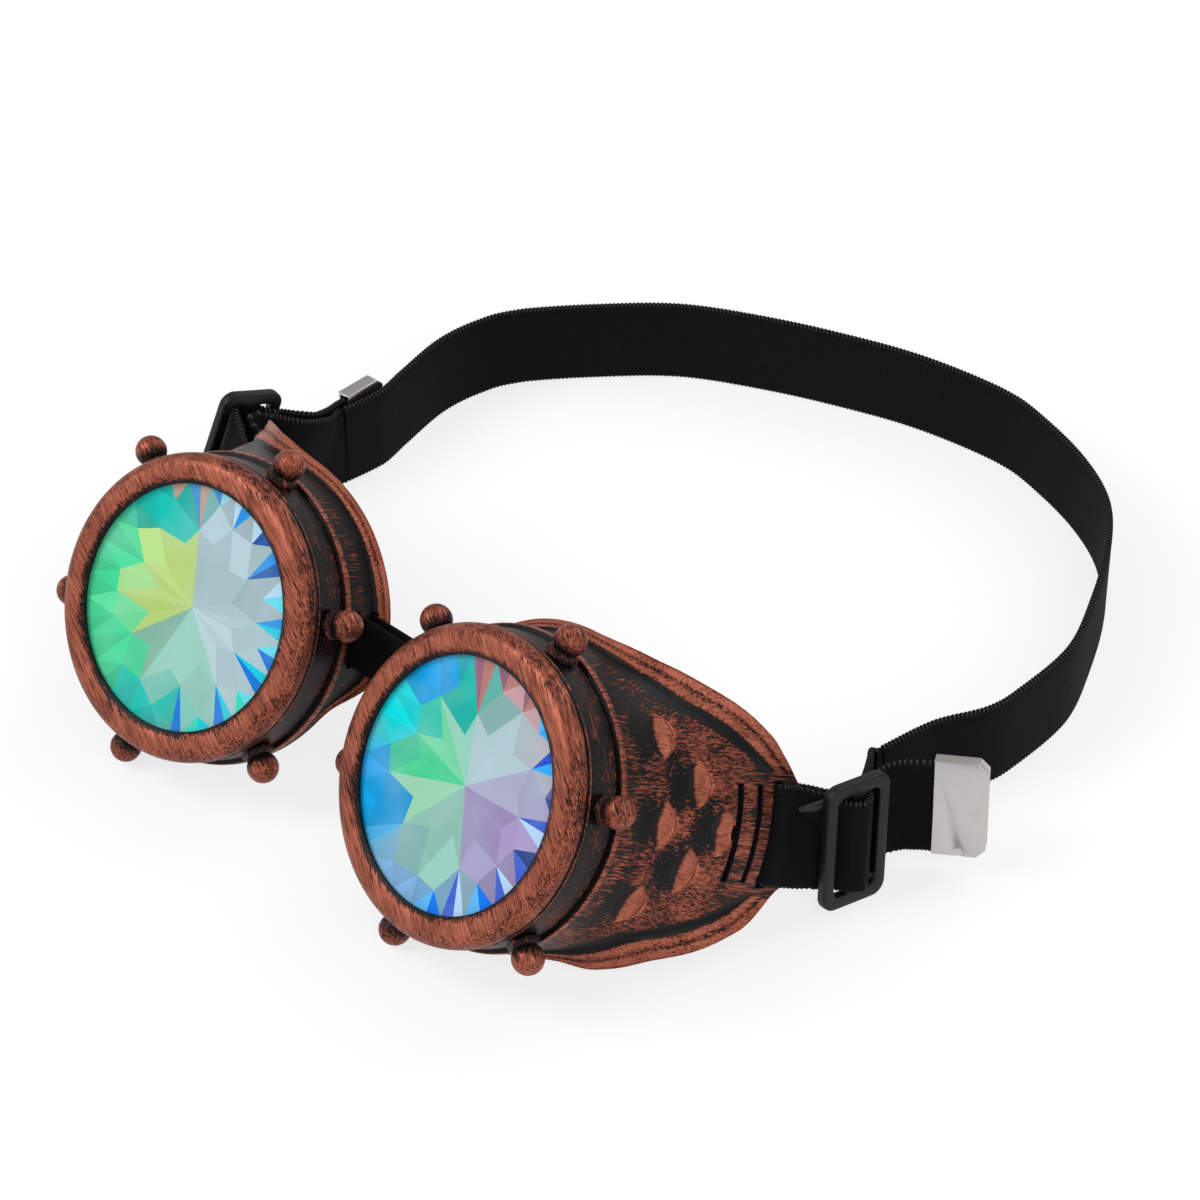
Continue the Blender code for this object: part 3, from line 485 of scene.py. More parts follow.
def coated_glass():
    """Cut crystal with a thin-film coating behind its facets: each facet is one clear tint, a little paler to
    one side, under a flat polished front. The tints carry each facet's painted shade and, in part, painted
    reflections of the lamps."""
    made, add, shader = new_material('coated_crystal', 0.3)
    coords = add('TexCoord', output='Object')
    tint = add('Attribute', output='Color', attribute_name='tint')
    drift = add('TexNoise', {'Vector': coords, 'Scale': 1 / film_drift, 'Detail': 1.0})
    fade = add('Math', (drift, *film_fade), operation='MULTIPLY_ADD', use_clamp=True)
    fill(shader, {
        'Base Color': add('Mix', {0: fade, 6: tint, 7: linear(film_pale)}, **colours),
        'Specular IOR Level': 0.1,
        'Coat Weight': 0.05,
        'Coat Roughness': 0.05})
    return made


# Meshes

crease = radians(32)
weld = 0.001 * MM
grid_weld = 0.0001 * MM


def smooth(mesh, angle=crease):
    """Shade a mesh smoothly but for its real edges."""
    mesh.shade_smooth()
    mesh.set_sharp_from_angle(angle=angle)


def put(bm, name):
    """Make an object of a finished mesh."""
    mesh = bpy.data.meshes.new(name)
    bm.to_mesh(mesh)
    bm.free()
    smooth(mesh)
    made = bpy.data.objects.new(name, mesh)
    bpy.context.collection.objects.link(made)
    return made


def bevel(bm, edges, offset, segments, **more):
    """Round edges of a mesh."""
    return bmesh.ops.bevel(bm, geom=edges, offset=offset, segments=segments, profile=0.5, affect='EDGES',
                           material=-1, **more)


def add_block(bm, size, place=Matrix.Identity(4)):
    """Add a block of a size, placed by a matrix."""
    made = bmesh.ops.create_cube(bm, size=1)['verts']
    bmesh.ops.scale(bm, vec=size, verts=made)
    bmesh.ops.transform(bm, matrix=place, verts=made)


def settle(bm, place):
    """Put a mesh in its place with its faces turned outward."""
    bmesh.ops.transform(bm, matrix=place, verts=bm.verts)
    bmesh.ops.recalc_face_normals(bm, faces=bm.faces)


def spin_section(bm, section, axis, steps, closed=False):
    """Spin a section of (x, y, paint) corners round an axis, and return the paint's layer."""
    layer = bm.verts.layers.float.new('paint')
    verts = []
    for x, y, paint in section:
        vert = bm.verts.new((x, y, 0))
        vert[layer] = paint
        verts.append(vert)
    edges = [bm.edges.new((verts[k - 1], verts[k])) for k in range(0 if closed else 1, len(verts))]
    bmesh.ops.spin(bm, geom=verts + edges, cent=(0, 0, 0), axis=axis, angle=2 * pi, steps=steps,
                   use_merge=True)
    return layer


def wrap_grid(columns, rows, place, names, closed_columns=True):
    """A grid closed round its rows; place(column, row) gives each corner's point and attribute values."""
    bm = bmesh.new()
    bmesh.ops.create_grid(bm, x_segments=columns, y_segments=rows, size=1)
    layers = [bm.verts.layers.float.new(name) for name in names]
    for vert in bm.verts:
        i = round((vert.co.x + 1) / 2 * columns)
        j = round((vert.co.y + 1) / 2 * rows)
        point, *values = place(i % columns if closed_columns else i, j % rows)
        vert.co = point
        for layer, value in zip(layers, values):
            vert[layer] = value
    bmesh.ops.remove_doubles(bm, verts=bm.verts, dist=grid_weld)
    if not closed_columns:
        bmesh.ops.holes_fill(bm, edges=[e for e in bm.edges if e.is_boundary], sides=0)
    bmesh.ops.recalc_face_normals(bm, faces=bm.faces)
    if bm.calc_volume(signed=True) < 0:
        bmesh.ops.reverse_faces(bm, faces=bm.faces)
    return bm


def apply_steps(item):
    """Apply an object's modifiers and remove their cutters."""
    cutters = [step.object for step in item.modifiers if step.type == 'BOOLEAN']
    graph = bpy.context.evaluated_depsgraph_get()
    done = bpy.data.meshes.new_from_object(item.evaluated_get(graph))
    item.modifiers.clear()
    item.data = done
    for cutter in cutters:
        bpy.data.objects.remove(cutter)


def cut(item, bm):
    """Cut a piece with a mesh."""
    step = item.modifiers.new('cut', 'BOOLEAN')
    step.operation = 'DIFFERENCE'
    step.object = put(bm, item.name + '_cutter')
    step.solver = 'EXACT'


def dress(item, body, finish, slot, *nodes):
    """Give a piece its material and, where it has one, its body, and hide the nodes that it stands for."""
    item.data.materials.clear()
    item.data.materials.append(finish)
    if body:
        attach(item, body)
    if nodes:
        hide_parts(*nodes)
    return item


# Cup

shield_half = radians(63)
fine_steps = 210
coarse_steps = 118
wall_steps = 76
inner_steps = 12

# Copper on the cup: 0 is bare black and 1 is well covered
wall_copper = 0.56
gouge_marks = ((-0.75, -0.66, 0.36), (0.15, 0.62, 0.35))    # before and behind: copper, place, spread
groove_bare = 0.95
groove_start = 3.4 * MM         # before the border
groove_end = 0.8 * MM
throat_bare = 0.15
throat_length = 3.0 * MM
brow_bare = (0.30, radians(22), radians(48))                # amount, and the angles it grows between
cheek_bare = (0.15, radians(26), radians(52))
flat_rim = 0.3                  # share of the full flare under which the rim counts as flat
border_cover = (0.04, 0.22)
border_copper = (-0.4, 1.45)
border_valley = (0.8, 0.6, 0.06)                            # amount, place, spread
flat_border_copper = 0.4
floor_copper = (-0.5, 1.6)
floor_cover = (-0.5, 0.1)
gouge_edge = 1.04
gouge_depth_share = 0.9


def cup_angles():
    """Angles of the cup's sections, close together on the shield."""
    fine = [-shield_half + 2 * shield_half * k / fine_steps for k in range(fine_steps)]
    rest = 2 * pi - 2 * shield_half
    return fine + [shield_half + rest * k / coarse_steps for k in range(coarse_steps)]


def flare_share(angle):
    """0 where the rim lies flat, 1 where it turns out."""
    return soft_step(0.0, flat_rim, rim_turn_out(angle) / rim_flare)


def shield_paint(back, angle, recess):
    """How much copper the brush left on the wall: less in the groove and under the brow. Less copper just
    ahead of each gouge, a little more behind it.
    """
    around_r = shell_radius(back, angle)
    turn = (angle + pi) % (2 * pi) - pi
    amount = wall_copper
    for place, at in scallop_places:
        beside = around_r * (turn - at) / (scallop_length / 2)
        for copper, shift, spread in gouge_marks:
            along = (back - place - scallop_width * shift) / (scallop_width * spread)
            amount += copper * exp(-(along * along + beside * beside))
    amount -= groove_bare * soft_step(recess - groove_start, recess - groove_end, back) * flare_share(angle)
    amount -= throat_bare * (1 - soft_step(tube_back, tube_back + throat_length, back))
    for (bare, start, end), around in ((brow_bare, turn), (cheek_bare, -turn)):
        amount -= bare * soft_step(start, end, around)
    return amount


def cup_section(angle):
    """Closed section of the cup at one angle, as (radius, back, paint)."""
    edge = edge_back(angle)
    border = border_width(angle)
    out = rim_turn_out(angle)
    lip = shell_radius(edge, angle)
    recess = edge - border
    rounding = min(rim_round, border * (1 - border_section_shares[-1][0]))
    rib_r = rib_d / 2
    round_r = rib_width / 4
    points = [(spigot_inner_r, spigot_front, 0.0), (spigot_r, spigot_front, 0.0), (spigot_r, rib_front, 0.0),
              (rib_r - round_r, rib_front, -0.2), (rib_r - round_r / 4, rib_front + round_r / 3, 0.8),
              (rib_r, rib_front + round_r, 0.8), (rib_r, rib_back - round_r, 0.6),
              (rib_r - round_r / 4, rib_back - round_r / 3, 0.5), (tube_r + round_r / 4, rib_back, -0.3)]
    for k in range(wall_steps + 1):
        back = tube_back + (recess - tube_back) * k / wall_steps
        points.append((shell_radius(back, angle), back, shield_paint(back, angle, recess)))
    turned = flare_share(angle)
    bare, full = border_copper
    depth, place, spread = border_valley
    for back_share, out_share in border_section_shares:
        back = recess + border * back_share
        valley = depth * exp(-((back_share - place) / spread) ** 2)
        copper = bare + full * soft_step(*border_cover, back_share) - valley
        paint = copper * turned + flat_border_copper * (1 - turned)
        points.append((shell_radius(back, angle) + out * out_share, back, paint))
    for k in range(4):
        turn = pi / 2 * k / 3
        points.append((lip + out - rounding * (1 - cos(turn)), edge - rounding * (1 - sin(turn)), 0.9))
    inner = lip - cup_wall + out * inner_flare_share
    points.append((inner + rounding, edge, 0.75))
    points.append((inner + rounding * 0.3, edge - rounding * 0.3, 0.55))
    for k in range(inner_steps, 0, -1):
        back = tube_back + (edge - border * inner_round_share - tube_back) * k / inner_steps
        points.append((shell_radius(back, angle) - cup_wall, back, 0.0))
    points.append((tube_r - cup_wall, tube_back, 0.0))
    points.append((spigot_inner_r, spigot_front + spigot_mouth_depth, 0.0))
    return points


def scallop_cutter(bm, back, angle):
    """Almond with pointed ends, laid so that it cuts deep in front and runs out behind."""
    made = bmesh.ops.create_uvsphere(bm, u_segments=40, v_segments=28, radius=1)['verts']
    for vert in made:
        pinch = sqrt(max(1 - vert.co.z * vert.co.z, 0.0))
        vert.co = (vert.co.x * pinch * scallop_depth, vert.co.y * pinch * scallop_width / 2,
                   vert.co.z * scallop_length / 2)
    tilt = Matrix.Rotation(-asin(scallop_depth / scallop_width), 4, 'Z')
    place = Matrix.Rotation(-angle, 4, 'Y') @ Matrix.Translation((shell_radius(back, angle), back, 0)) @ tilt
    bmesh.ops.transform(bm, matrix=place, verts=made)


def slot_cutter(bm, direction, back, width, length, place):
    """Block for one slot through the cup's wall."""
    through = tube_r + cup_flare + 2 * MM
    out = Matrix.Translation((direction * through * 3 / 4, back, 0))
    add_block(bm, (through / 2, width, length), place @ out)


def paint_gouges(cup, placed):
    """Copper on the rear of the gouges' floors, and black in their steep fronts."""
    home = placed.inverted()
    paint = cup.data.attributes['paint'].data
    bare, full = floor_copper
    for vert in cup.data.vertices:
        x, back, z = home @ vert.co
        radius = sqrt(x * x + z * z)
        if x < 0 or radius < shell_radius(back, 0.0) - cup_wall * gouge_depth_share:
            continue
        for place, at in scallop_places:
            beside = radius * (atan2(z, x) - at) / (scallop_length / 2)
            ahead = (back - place) / (scallop_width / 2)
            if abs(beside) < 1 and abs(ahead) < (1 - beside * beside) * gouge_edge:
                paint[vert.index].value = bare + full * soft_step(*floor_cover, ahead)


def build_cup(side):
    """The cup with its shield, gouges and slots, painted by place."""
    sections = [(angle, cup_section(angle)) for angle in cup_angles()]
    mirror = Matrix.Diagonal((side, 1, 1, 1))
    placed = cup_frames[side] @ mirror

    def place(i, j):
        angle, section = sections[i]
        radius, back, paint = section[j]
        return placed @ Vector((radius * cos(angle), back, radius * sin(angle))), paint

    grid = wrap_grid(len(sections), len(sections[0][1]), place, ('paint',))
    cup = put(grid, 'eye_cup_' + side_names[side])
    gouges = bmesh.new()
    for back, angle in scallop_places:
        scallop_cutter(gouges, back, angle)
    slots = bmesh.new()
    upright = Matrix.Identity(4)
    for i in range(2):
        slot_cutter(slots, 1, first_slot_back + i * slot_pitch, vent_slot_width, vent_slot_length, upright)
    middle = (strap_slot_front + strap_slot_back) / 2
    tall = strap_width + 2 * strap_side_gap
    slot_cutter(slots, 1, middle, strap_slot_back - strap_slot_front, tall, upright)
    level = Matrix.Rotation(shield_lift, 4, 'Y') @ Matrix.Translation((0, 0, nose_band_rise))
    for i in range(2):
        slot_cutter(slots, -1, nose_front_slot_back + i * nose_slot_spacing,
                    nose_band_thickness + 2 * nose_slot_gap, nose_band_width + 2 * nose_slot_gap, level)
    for cutters in (gouges, slots):
        settle(cutters, placed)
        cut(cup, cutters)
    apply_steps(cup)
    paint_gouges(cup, placed)
    smooth(cup.data)
    return cup


# Bezel

ring_arc_steps = 14
bead_steps = 4
bezel_around = 160
stud_around = 32
ball_steps = 17
foot_round = 0.3 * MM
foot_top_inset = 0.35 * MM
foot_base_inset = 0.1 * MM
lip_shares = (0.0, 0.08, 0.2, 0.35, 0.5, 0.7, 0.85)
band_paint = ((0.06, -0.3), (0.2, 0.16), (0.5, 0.24), (0.85, 0.2), (0.96, 0.3))


def bezel_section():
    """Closed section of the screw ring, as (radius, back, paint)."""
    ring_mid = (lip_r + ring_r) / 2
    points = [(lip_r, lip_thickness, -0.4), (lip_r, lip_thickness * 0.75, -0.4)]
    for share in lip_shares:
        points.append((lip_r + (ring_mid - lip_r) * share, lip_thickness * 0.55 * (1 - share) ** 3,
                       -0.1 + soft_step(-0.1, 0.55, share)))
    for k in range(ring_arc_steps + 1):
        angle = pi / 2 * k / ring_arc_steps
        back = ring_depth * 0.7 * (1 - cos(angle))
        points.append((ring_mid + (ring_r - ring_mid) * sin(angle), back, 0.90 - 0.25 * sin(angle)))
    points.append((ring_r, ring_depth * 0.78, 0.5))
    points.append((ring_r - 0.12 * MM, ring_depth * 0.9, 0.0))
    points.append((band_r, ring_depth, -0.5))
    for k in range(bead_steps + 1):
        angle = pi * k / bead_steps
        points.append((band_r + bead_height * sin(angle), ring_depth + bead_width / 2 * (1 - cos(angle)),
                       -0.2 + 0.95 * sin(angle)))
    bead_back = ring_depth + bead_width
    points += [(band_r, bead_back + (bezel_depth - bead_back) * share, paint) for share, paint in band_paint]
    points += [(band_r - 0.05 * MM, bezel_depth - 0.1 * MM, 0.5), (band_r - 0.3 * MM, bezel_depth, 0.2),
               (bore_r, bezel_depth, 0.0), (bore_r, spigot_front - touch_gap, 0.0),
               (pocket_r, spigot_front - touch_gap, 0.0), (pocket_r, lip_thickness, 0.0)]
    return points


def build_bezel(side):
    """The screw ring, spun from its section."""
    bm = bmesh.new()
    spin_section(bm, bezel_section(), (0, 1, 0), bezel_around, closed=True)
    settle(bm, level_frames[side])
    return put(bm, 'screw_ring_' + side_names[side])


def build_stud(side, i):
    """Ball on its neck, spun, and the six-sided foot under it with rounded corners."""
    foot = band_r + touch_gap
    nut_top = foot + stud_nut_height
    ball_r = stud_ball_d / 2
    neck_r = stud_neck_d / 2
    start = -acos(neck_r / ball_r)
    section = [(nut_top - 0.2 * MM, 0.0, 0.0), (nut_top - 0.2 * MM, neck_r * 1.12, 0.0),
               (nut_top + 0.1 * MM, neck_r * 1.02, 0.05)]
    for k in range(ball_steps + 1):
        angle = start + (pi / 2 - start) * k / ball_steps
        section.append((stud_ball_reach + ball_r * sin(angle), max(ball_r * cos(angle), 0.0),
                        -0.05 + 0.8 * soft_step(-0.9, 0.3, sin(angle))))
    bm = bmesh.new()
    layer = spin_section(bm, section, (1, 0, 0), stud_around)
    bmesh.ops.remove_doubles(bm, verts=bm.verts, dist=weld)
    lay = Matrix.Translation(((foot + nut_top) / 2, 0, 0)) @ Matrix.Rotation(pi / 2, 4, 'Y')
    nut = bmesh.ops.create_cone(bm, cap_ends=True, segments=6, radius1=stud_nut_d / 2 - foot_base_inset,
                                radius2=stud_nut_d / 2 - foot_top_inset, depth=stud_nut_height, matrix=lay)
    own = set(nut['verts'])
    edges = [e for e in bm.edges if e.verts[0] in own and e.verts[1] in own]
    for vert in bevel(bm, edges, foot_round, 3)['verts']:
        vert[layer] = 0.3
    angle = stud_turns[side] + 2 * pi * i / stud_count
    mirror = Matrix.Diagonal((side, 1, 1, 1))
    place = Matrix.Rotation(-angle, 4, 'Y') @ Matrix.Translation((0, stud_back, 0))
    settle(bm, level_frames[side] @ mirror @ place)
    return put(bm, 'ball_stud_' + side_names[side] + '_' + str(i + 1))


# Lens

# The rays of the cut as the eye sees it: angle from the right, in degrees, and length in the lens's radius.
# Between them lie the corners of the inner star.
lens_rays = {
    1: ((8, 0.62), (40, 0.70), (73, 0.80), (106, 0.55), (140, 0.72), (170, 0.62), (202, 0.76), (236, 0.66),
        (268, 0.80), (300, 0.62), (332, 0.70)),
    -1: ((12, 0.66), (44, 0.60), (78, 0.74), (104, 0.62), (138, 0.70), (164, 0.58), (192, 0.74), (222, 0.62),
         (252, 0.76), (284, 0.62), (316, 0.66), (344, 0.56)),
}

# Colours that a thin film turns through as it thickens, also used for painted reflections of the lamps
film_and_reflection_colours = {'azure': '#04a2e8', 'cyan': '#00d8de', 'teal': '#10bdb0', 'green': '#42d494',
                'lime': '#c8e480', 'cream': '#c0e3c4', 'mint': '#92c8b8', 'mist': '#b0c8d0',
                'lilac': '#a694c4', 'rose': '#d0a4ac', 'sky': '#7cb0e0'}
# Broad zones of colour, the coating's own and in part painted reflections of the lamps: right and up in the
# lens's radius, and the colour there
film_and_reflection_zones = {
    1: ((-0.72, 0.62, 'azure'), (-0.82, 0.16, 'cyan'), (-0.78, -0.42, 'azure'), (-0.22, 0.60, 'teal'),
        (-0.46, 0.0, 'green'), (-0.16, -0.04, 'cream'), (0.0, -0.52, 'mint'), (0.18, 0.42, 'mist'),
        (0.46, -0.10, 'lilac'), (0.16, 0.86, 'rose'), (0.0, -0.88, 'sky')),
    -1: ((-0.50, 0.75, 'teal'), (-0.84, 0.05, 'green'), (-0.36, 0.08, 'lime'), (-0.64, -0.56, 'green'),
         (0.20, 0.56, 'mist'), (0.04, -0.50, 'mint'), (0.50, -0.12, 'mist'), (-0.12, -0.88, 'teal')),
}
zone_blend = 0.002              # how softly the zones run into each other

# Tints of the slivers near the rim, from low right round to the top, and on top where the warm ones are
rim_tints = {
    1: ('#1546c0', '#2aa2f0', '#17387e', '#0b72e6', '#a9cbe8', '#3f5cc4', '#5aaee8', '#5d5798'),
    -1: ('#12bfd0', '#1572cc', '#25cfb4', '#a9cbe0', '#1f8ad8', '#1a4f9c', '#5fd0e0'),
}
rim_tint_start = {1: radians(-80), -1: radians(-75)}
rim_tint_end = {1: radians(66), -1: radians(80)}
warm_tints = {1: ('#c98a80', '#c7a9c6', '#cfd6e0', '#94617a'),
              -1: ('#c07f4a', '#2f8fd0', '#b99a86', '#8fd0e4')}
warm_end = radians(118)
# painted shade of the lens's facets
painted_facet_shade = (0.66, 0.28)      # darkest facet, and how much lighter the lightest is

star_share = 0.46               # where the corners lie, as shares of the lens's radius
star_uneven = 0.08
star_beat = 5.1                 # makes neighbours uneven without a pattern
tip_share = 0.80
tip_uneven = 0.07
tip_beat = 7.3
rim_splits = (0.38, 0.55)       # where the rim is split between a ray and the middle, and beyond it
golden_share = 0.618034         # spreads the facets' shades evenly, with no pattern
facet_depths = (2.4 * MM, 1.5 * MM, 0.8 * MM, 0.15 * MM)    # behind the front: middle, rays, tips, rim


def lens_tint(side, x, y, kind, pick):
    """The tint of a facet by its middle, with the facet's painted shade."""
    total = Vector((0, 0, 0))
    weights = 0.0
    for zone_x, zone_y, zone_colour in film_and_reflection_zones[side]:
        weight = 1 / ((x - zone_x) ** 2 + (y - zone_y) ** 2 + zone_blend) ** 3
        total += Vector(linear(film_and_reflection_colours[zone_colour])[:3]) * weight
        weights += weight
    colour = total / weights
    # painted shade: each facet's tint is made a little darker or lighter, as light would catch it
    dark, lift = painted_facet_shade
    painted_shade = dark + lift * pick
    if kind == 'rim':
        angle = atan2(y, x)
        if rim_tint_start[side] < angle < rim_tint_end[side]:
            codes = rim_tints[side]
            colour = Vector(linear(codes[int(pick * len(codes))])[:3])
            painted_shade = 1.0
        elif rim_tint_end[side] <= angle < warm_end:
            codes = warm_tints[side]
            colour = Vector(linear(codes[int(pick * len(codes))])[:3])
    return tuple(min(c * painted_shade, 1.0) for c in colour) + (1.0,)


def build_lens(side):
    """The lens as it looks through its front: rays, tips and slivers, and the cut back behind them."""
    bm = bmesh.new()
    tints = bm.faces.layers.float_color.new('tint')

    def at(angle, share, depth):
        return bm.verts.new((lens_r * share * cos(angle), lens_front + depth, lens_r * share * sin(angle)))

    middle, ray, tip, rim = facet_depths
    before, beyond = rim_splits
    rays = [(radians(degrees), share) for degrees, share in lens_rays[side]]
    count = len(rays)
    centre = at(0, 0, middle)
    inner = [at(angle, share, ray) for angle, share in rays]
    heart = []
    outer = []
    ring = []
    for k, (angle, share) in enumerate(rays):
        after = rays[(k + 1) % count][0] + (2 * pi if k == count - 1 else 0)
        mid = (angle + after) / 2
        heart.append(at(mid, star_share + star_uneven * sin(star_beat * k + 2 * side), middle))
        outer.append(at(mid, tip_share + tip_uneven * sin(tip_beat * k + side), tip))
        for at_angle in (angle, angle + (mid - angle) * before, mid, mid + (after - mid) * beyond):
            ring.append(at(at_angle, 1.0, rim))
    facets = []
    for k in range(count):
        n = (k + 1) % count
        here, half, mid, late = ring[4 * k:4 * k + 4]
        after = ring[4 * n]
        facets += [('kite', (centre, inner[k], heart[k]), (centre, heart[k], inner[n])),
                   ('kite', (heart[k], inner[k], outer[k]), (heart[k], outer[k], inner[n])),
                   ('rim', (inner[k], here, half)), ('mid', (inner[k], half, outer[k])),
                   ('rim', (outer[k], half, mid)), ('rim', (outer[k], mid, late)),
                   ('mid', (outer[k], late, inner[n])), ('rim', (inner[n], late, after))]
    for k, (kind, *parts) in enumerate(facets):
        made = [bm.faces.new(corners) for corners in parts]
        spot = sum((face.calc_center_median() for face in made), Vector()) / (len(made) * lens_r)
        pick = (k + 1 + side / 3) * golden_share % 1
        for face in made:
            face[tints] = lens_tint(side, spot.x, spot.z, kind, pick)
    edges = [e for e in bm.edges if e.is_boundary]
    for radius, back in ((lens_r, lens_back), (lens_r - lens_land, lens_back),
                         (lens_r * facet_ring_share, lens_back + facet_rise)):
        made = bmesh.ops.extrude_edge_only(bm, edges=edges)['geom']
        edges = [e for e in made if isinstance(e, bmesh.types.BMEdge)]
        for vert in [v for v in made if isinstance(v, bmesh.types.BMVert)]:
            spot = Vector((vert.co.x, 0, vert.co.z)).normalized() * radius
            vert.co = (spot.x, back, spot.z)
    cap = bmesh.ops.contextual_create(bm, geom=edges)['faces']
    point = bmesh.ops.poke(bm, faces=cap)['verts'][0]
    point.co = (0, lens_back + lens_point, 0)
    for face in bm.faces:
        if tuple(face[tints])[3] == 0:
            spot = face.calc_center_median() / lens_r
            face[tints] = lens_tint(side, spot.x, spot.z, 'kite', 0.5)
    settle(bm, level_frames[side])
    lens = put(bm, 'cut_lens_' + side_names[side])
    for face in lens.data.polygons:
        face.use_smooth = False
    return lens


# Strap

knit_steps = 4                  # stations to each turn of the whipped edge
selvedge_wave = 0.13 * MM
selvedge_swell = 0.12
plain_step = 1.0 * MM
strap_round = 0.45 * MM
ribbon_step = 5.0 * MM


def smooth_route(keys, step):
    """Stations on a soft curve through the keys, each a (centre, width direction, bow of the edges)."""
    route = []
    for i in range(len(keys) - 1):
        p0 = keys[max(i - 1, 0)]
        p1 = keys[i]
        p2 = keys[i + 1]
        p3 = keys[min(i + 2, len(keys) - 1)]
        pieces = max(1, ceil((p2[0] - p1[0]).length / step))
        for k in range(pieces):
            t = k / pieces
            point = []
            for a, b, c, d in zip(p0, p1, p2, p3):
                point.append(0.5 * (2 * b + (c - a) * t + (2 * a - 5 * b + 4 * c - d) * t * t
                                    + (3 * b - 3 * c + d - a) * t * t * t))
            route.append((point[0], point[1].normalized(), point[2]))
    route.append(keys[-1])
    return route


def strip_section(width, thickness):
    """Half a turn round a strip's edge and its flat faces, as (across, off) in metres."""
    half = width / 2 - strap_round
    face = thickness / 2
    points = [(half * k / 4, face) for k in range(-4, 5)]
    points += [(half + strap_round * sin(pi * k / 6), face * cos(pi * k / 6)) for k in range(1, 6)]
    points += [(half * k / 4, -face) for k in range(4, -5, -1)]
    points += [(-half - strap_round * sin(pi * k / 6), -face * cos(pi * k / 6)) for k in range(1, 6)]
    return points


def knitted_strip(name, keys, width, thickness, whipped=True, closed=False):
    """A strip of elastic along a route, its edges whipped at every row."""
    route = smooth_route(keys, knit_row / knit_steps if whipped else plain_step)
    if closed:
        route = route[:-1]
    count = len(route)
    section = strip_section(width - 2 * selvedge_wave, thickness)
    half = width / 2 - selvedge_wave
    gone = 0.0
    stations = []
    for i, (centre, across, bow) in enumerate(route):
        before = route[(i - 1) % count][0] if closed or i else centre
        after = route[(i + 1) % count][0] if closed or i < count - 1 else centre
        heading = (after - before).normalized()
        wide = (across - heading * across.dot(heading)).normalized()
        gone += (centre - route[i - 1][0]).length if i else 0.0
        stations.append((centre, wide, heading.cross(wide), bow, gone))

    def place(i, j):
        centre, wide, face, bow, length = stations[i]
        across, off = section[j]
        edge = soft_step(half - selvedge, half, abs(across)) if whipped else 0.0
        whip = edge * sin(2 * pi * length / knit_row)
        share = across / (width / 2)
        spread = across + selvedge_wave * whip * (1 if across > 0 else -1)
        thick = off * (1 + selvedge_swell * whip)
        return centre + wide * spread + bow * (share * share) + face * thick, length, across

    columns = count if closed else count - 1
    return put(wrap_grid(columns, len(section), place, ('along', 'across'), closed), name)


shield_mid_r = shell_radius(shield_reach, 0.0) - cup_wall / 2
strap_bow = (strap_width / 2) ** 2 / (2 * shield_mid_r)


def in_cup(side, x, y, z):
    """A point given in the left cup's frame, on either side."""
    return cup_frames[side] @ Vector((side * x, y, z))


def slider_matrix(side):
    """Frame of a slider: x out of the strap's face, y along the strap to the back, z across it."""
    out, back, up = slider_places[side]
    turn, swing, lean = slider_turns[side]
    place = cup_frames[side] @ Matrix.Translation((side * out, back, up))
    face = Matrix.Rotation(side * turn, 4, 'Z') @ Matrix.Rotation(swing, 4, 'X')
    return place @ face @ Matrix.Rotation(side * lean, 4, 'Y')


slider_frames = {side: slider_matrix(side) for side in (1, -1)}


def in_slider(side, out, along, up):
    """A point in a slider's frame, with out counted away from the head on both sides."""
    return slider_frames[side] @ Vector((side * out, along, up))


def width_of(place):
    """The direction across the strap in a frame."""
    return (place.to_3x3() @ Vector((0, 0, 1))).normalized()


def outer_weave():
    """Route of the outer layer through the slider: under, over the middle bar, under."""
    half = [(-under_bar, -slider_bar / 2 - slider_slot)]
    for k in range(1, 5):
        share = k / 5
        half.append((-under_bar * cos(pi * share), -slider_bar / 2 - slider_slot * (1 - share)))
    half.append((under_bar, -slider_bar / 2))
    back_half = [(out, -along) for out, along in reversed(half)]
    return half + [(under_bar + hump_rise, 0)] + back_half + [(-under_bar, slider_along / 2)]


def tail_keys(side):
    """The free end from the slider's back to its tip."""
    lean = width_of(slider_frames[side])
    upright = (lean * (1 - tail_upright[side]) + Vector((0, 0, tail_upright[side]))).normalized()
    *bends, start, tip = [in_slider(side, *place) for place in tail_routes[side]]
    keys = [(bend, (lean + upright).normalized(), flat) for bend in bends]
    keys += [(start.lerp(tip, k / 3), upright, flat) for k in range(4)]
    return keys


def slot_turn(side):
    """The strap's turn round the bar between its slot and the shield's tip, outside to inside."""
    across = width_of(cup_frames[side])
    bow = cup_frames[side].to_3x3() @ Vector((-side * strap_bow, 0, 0))
    middle = strap_slot_front + touch_gap + strap_thickness / 2 + turn_r
    halfway = (middle + shield_reach) / 2
    places = [] if steep_leg[side] else [(shield_mid_r + turn_r + touch_gap, halfway)]
    for k in range(2 if steep_leg[side] else 0, 7):
        angle = pi * k / 6
        places.append((shield_mid_r + turn_r * cos(angle), middle - turn_r * sin(angle)))
    places += [(shield_mid_r - turn_r, halfway), (shield_mid_r - turn_r, shield_reach + strap_thickness)]
    return [(in_cup(side, radius, back, 0), across, bow) for radius, back in places]


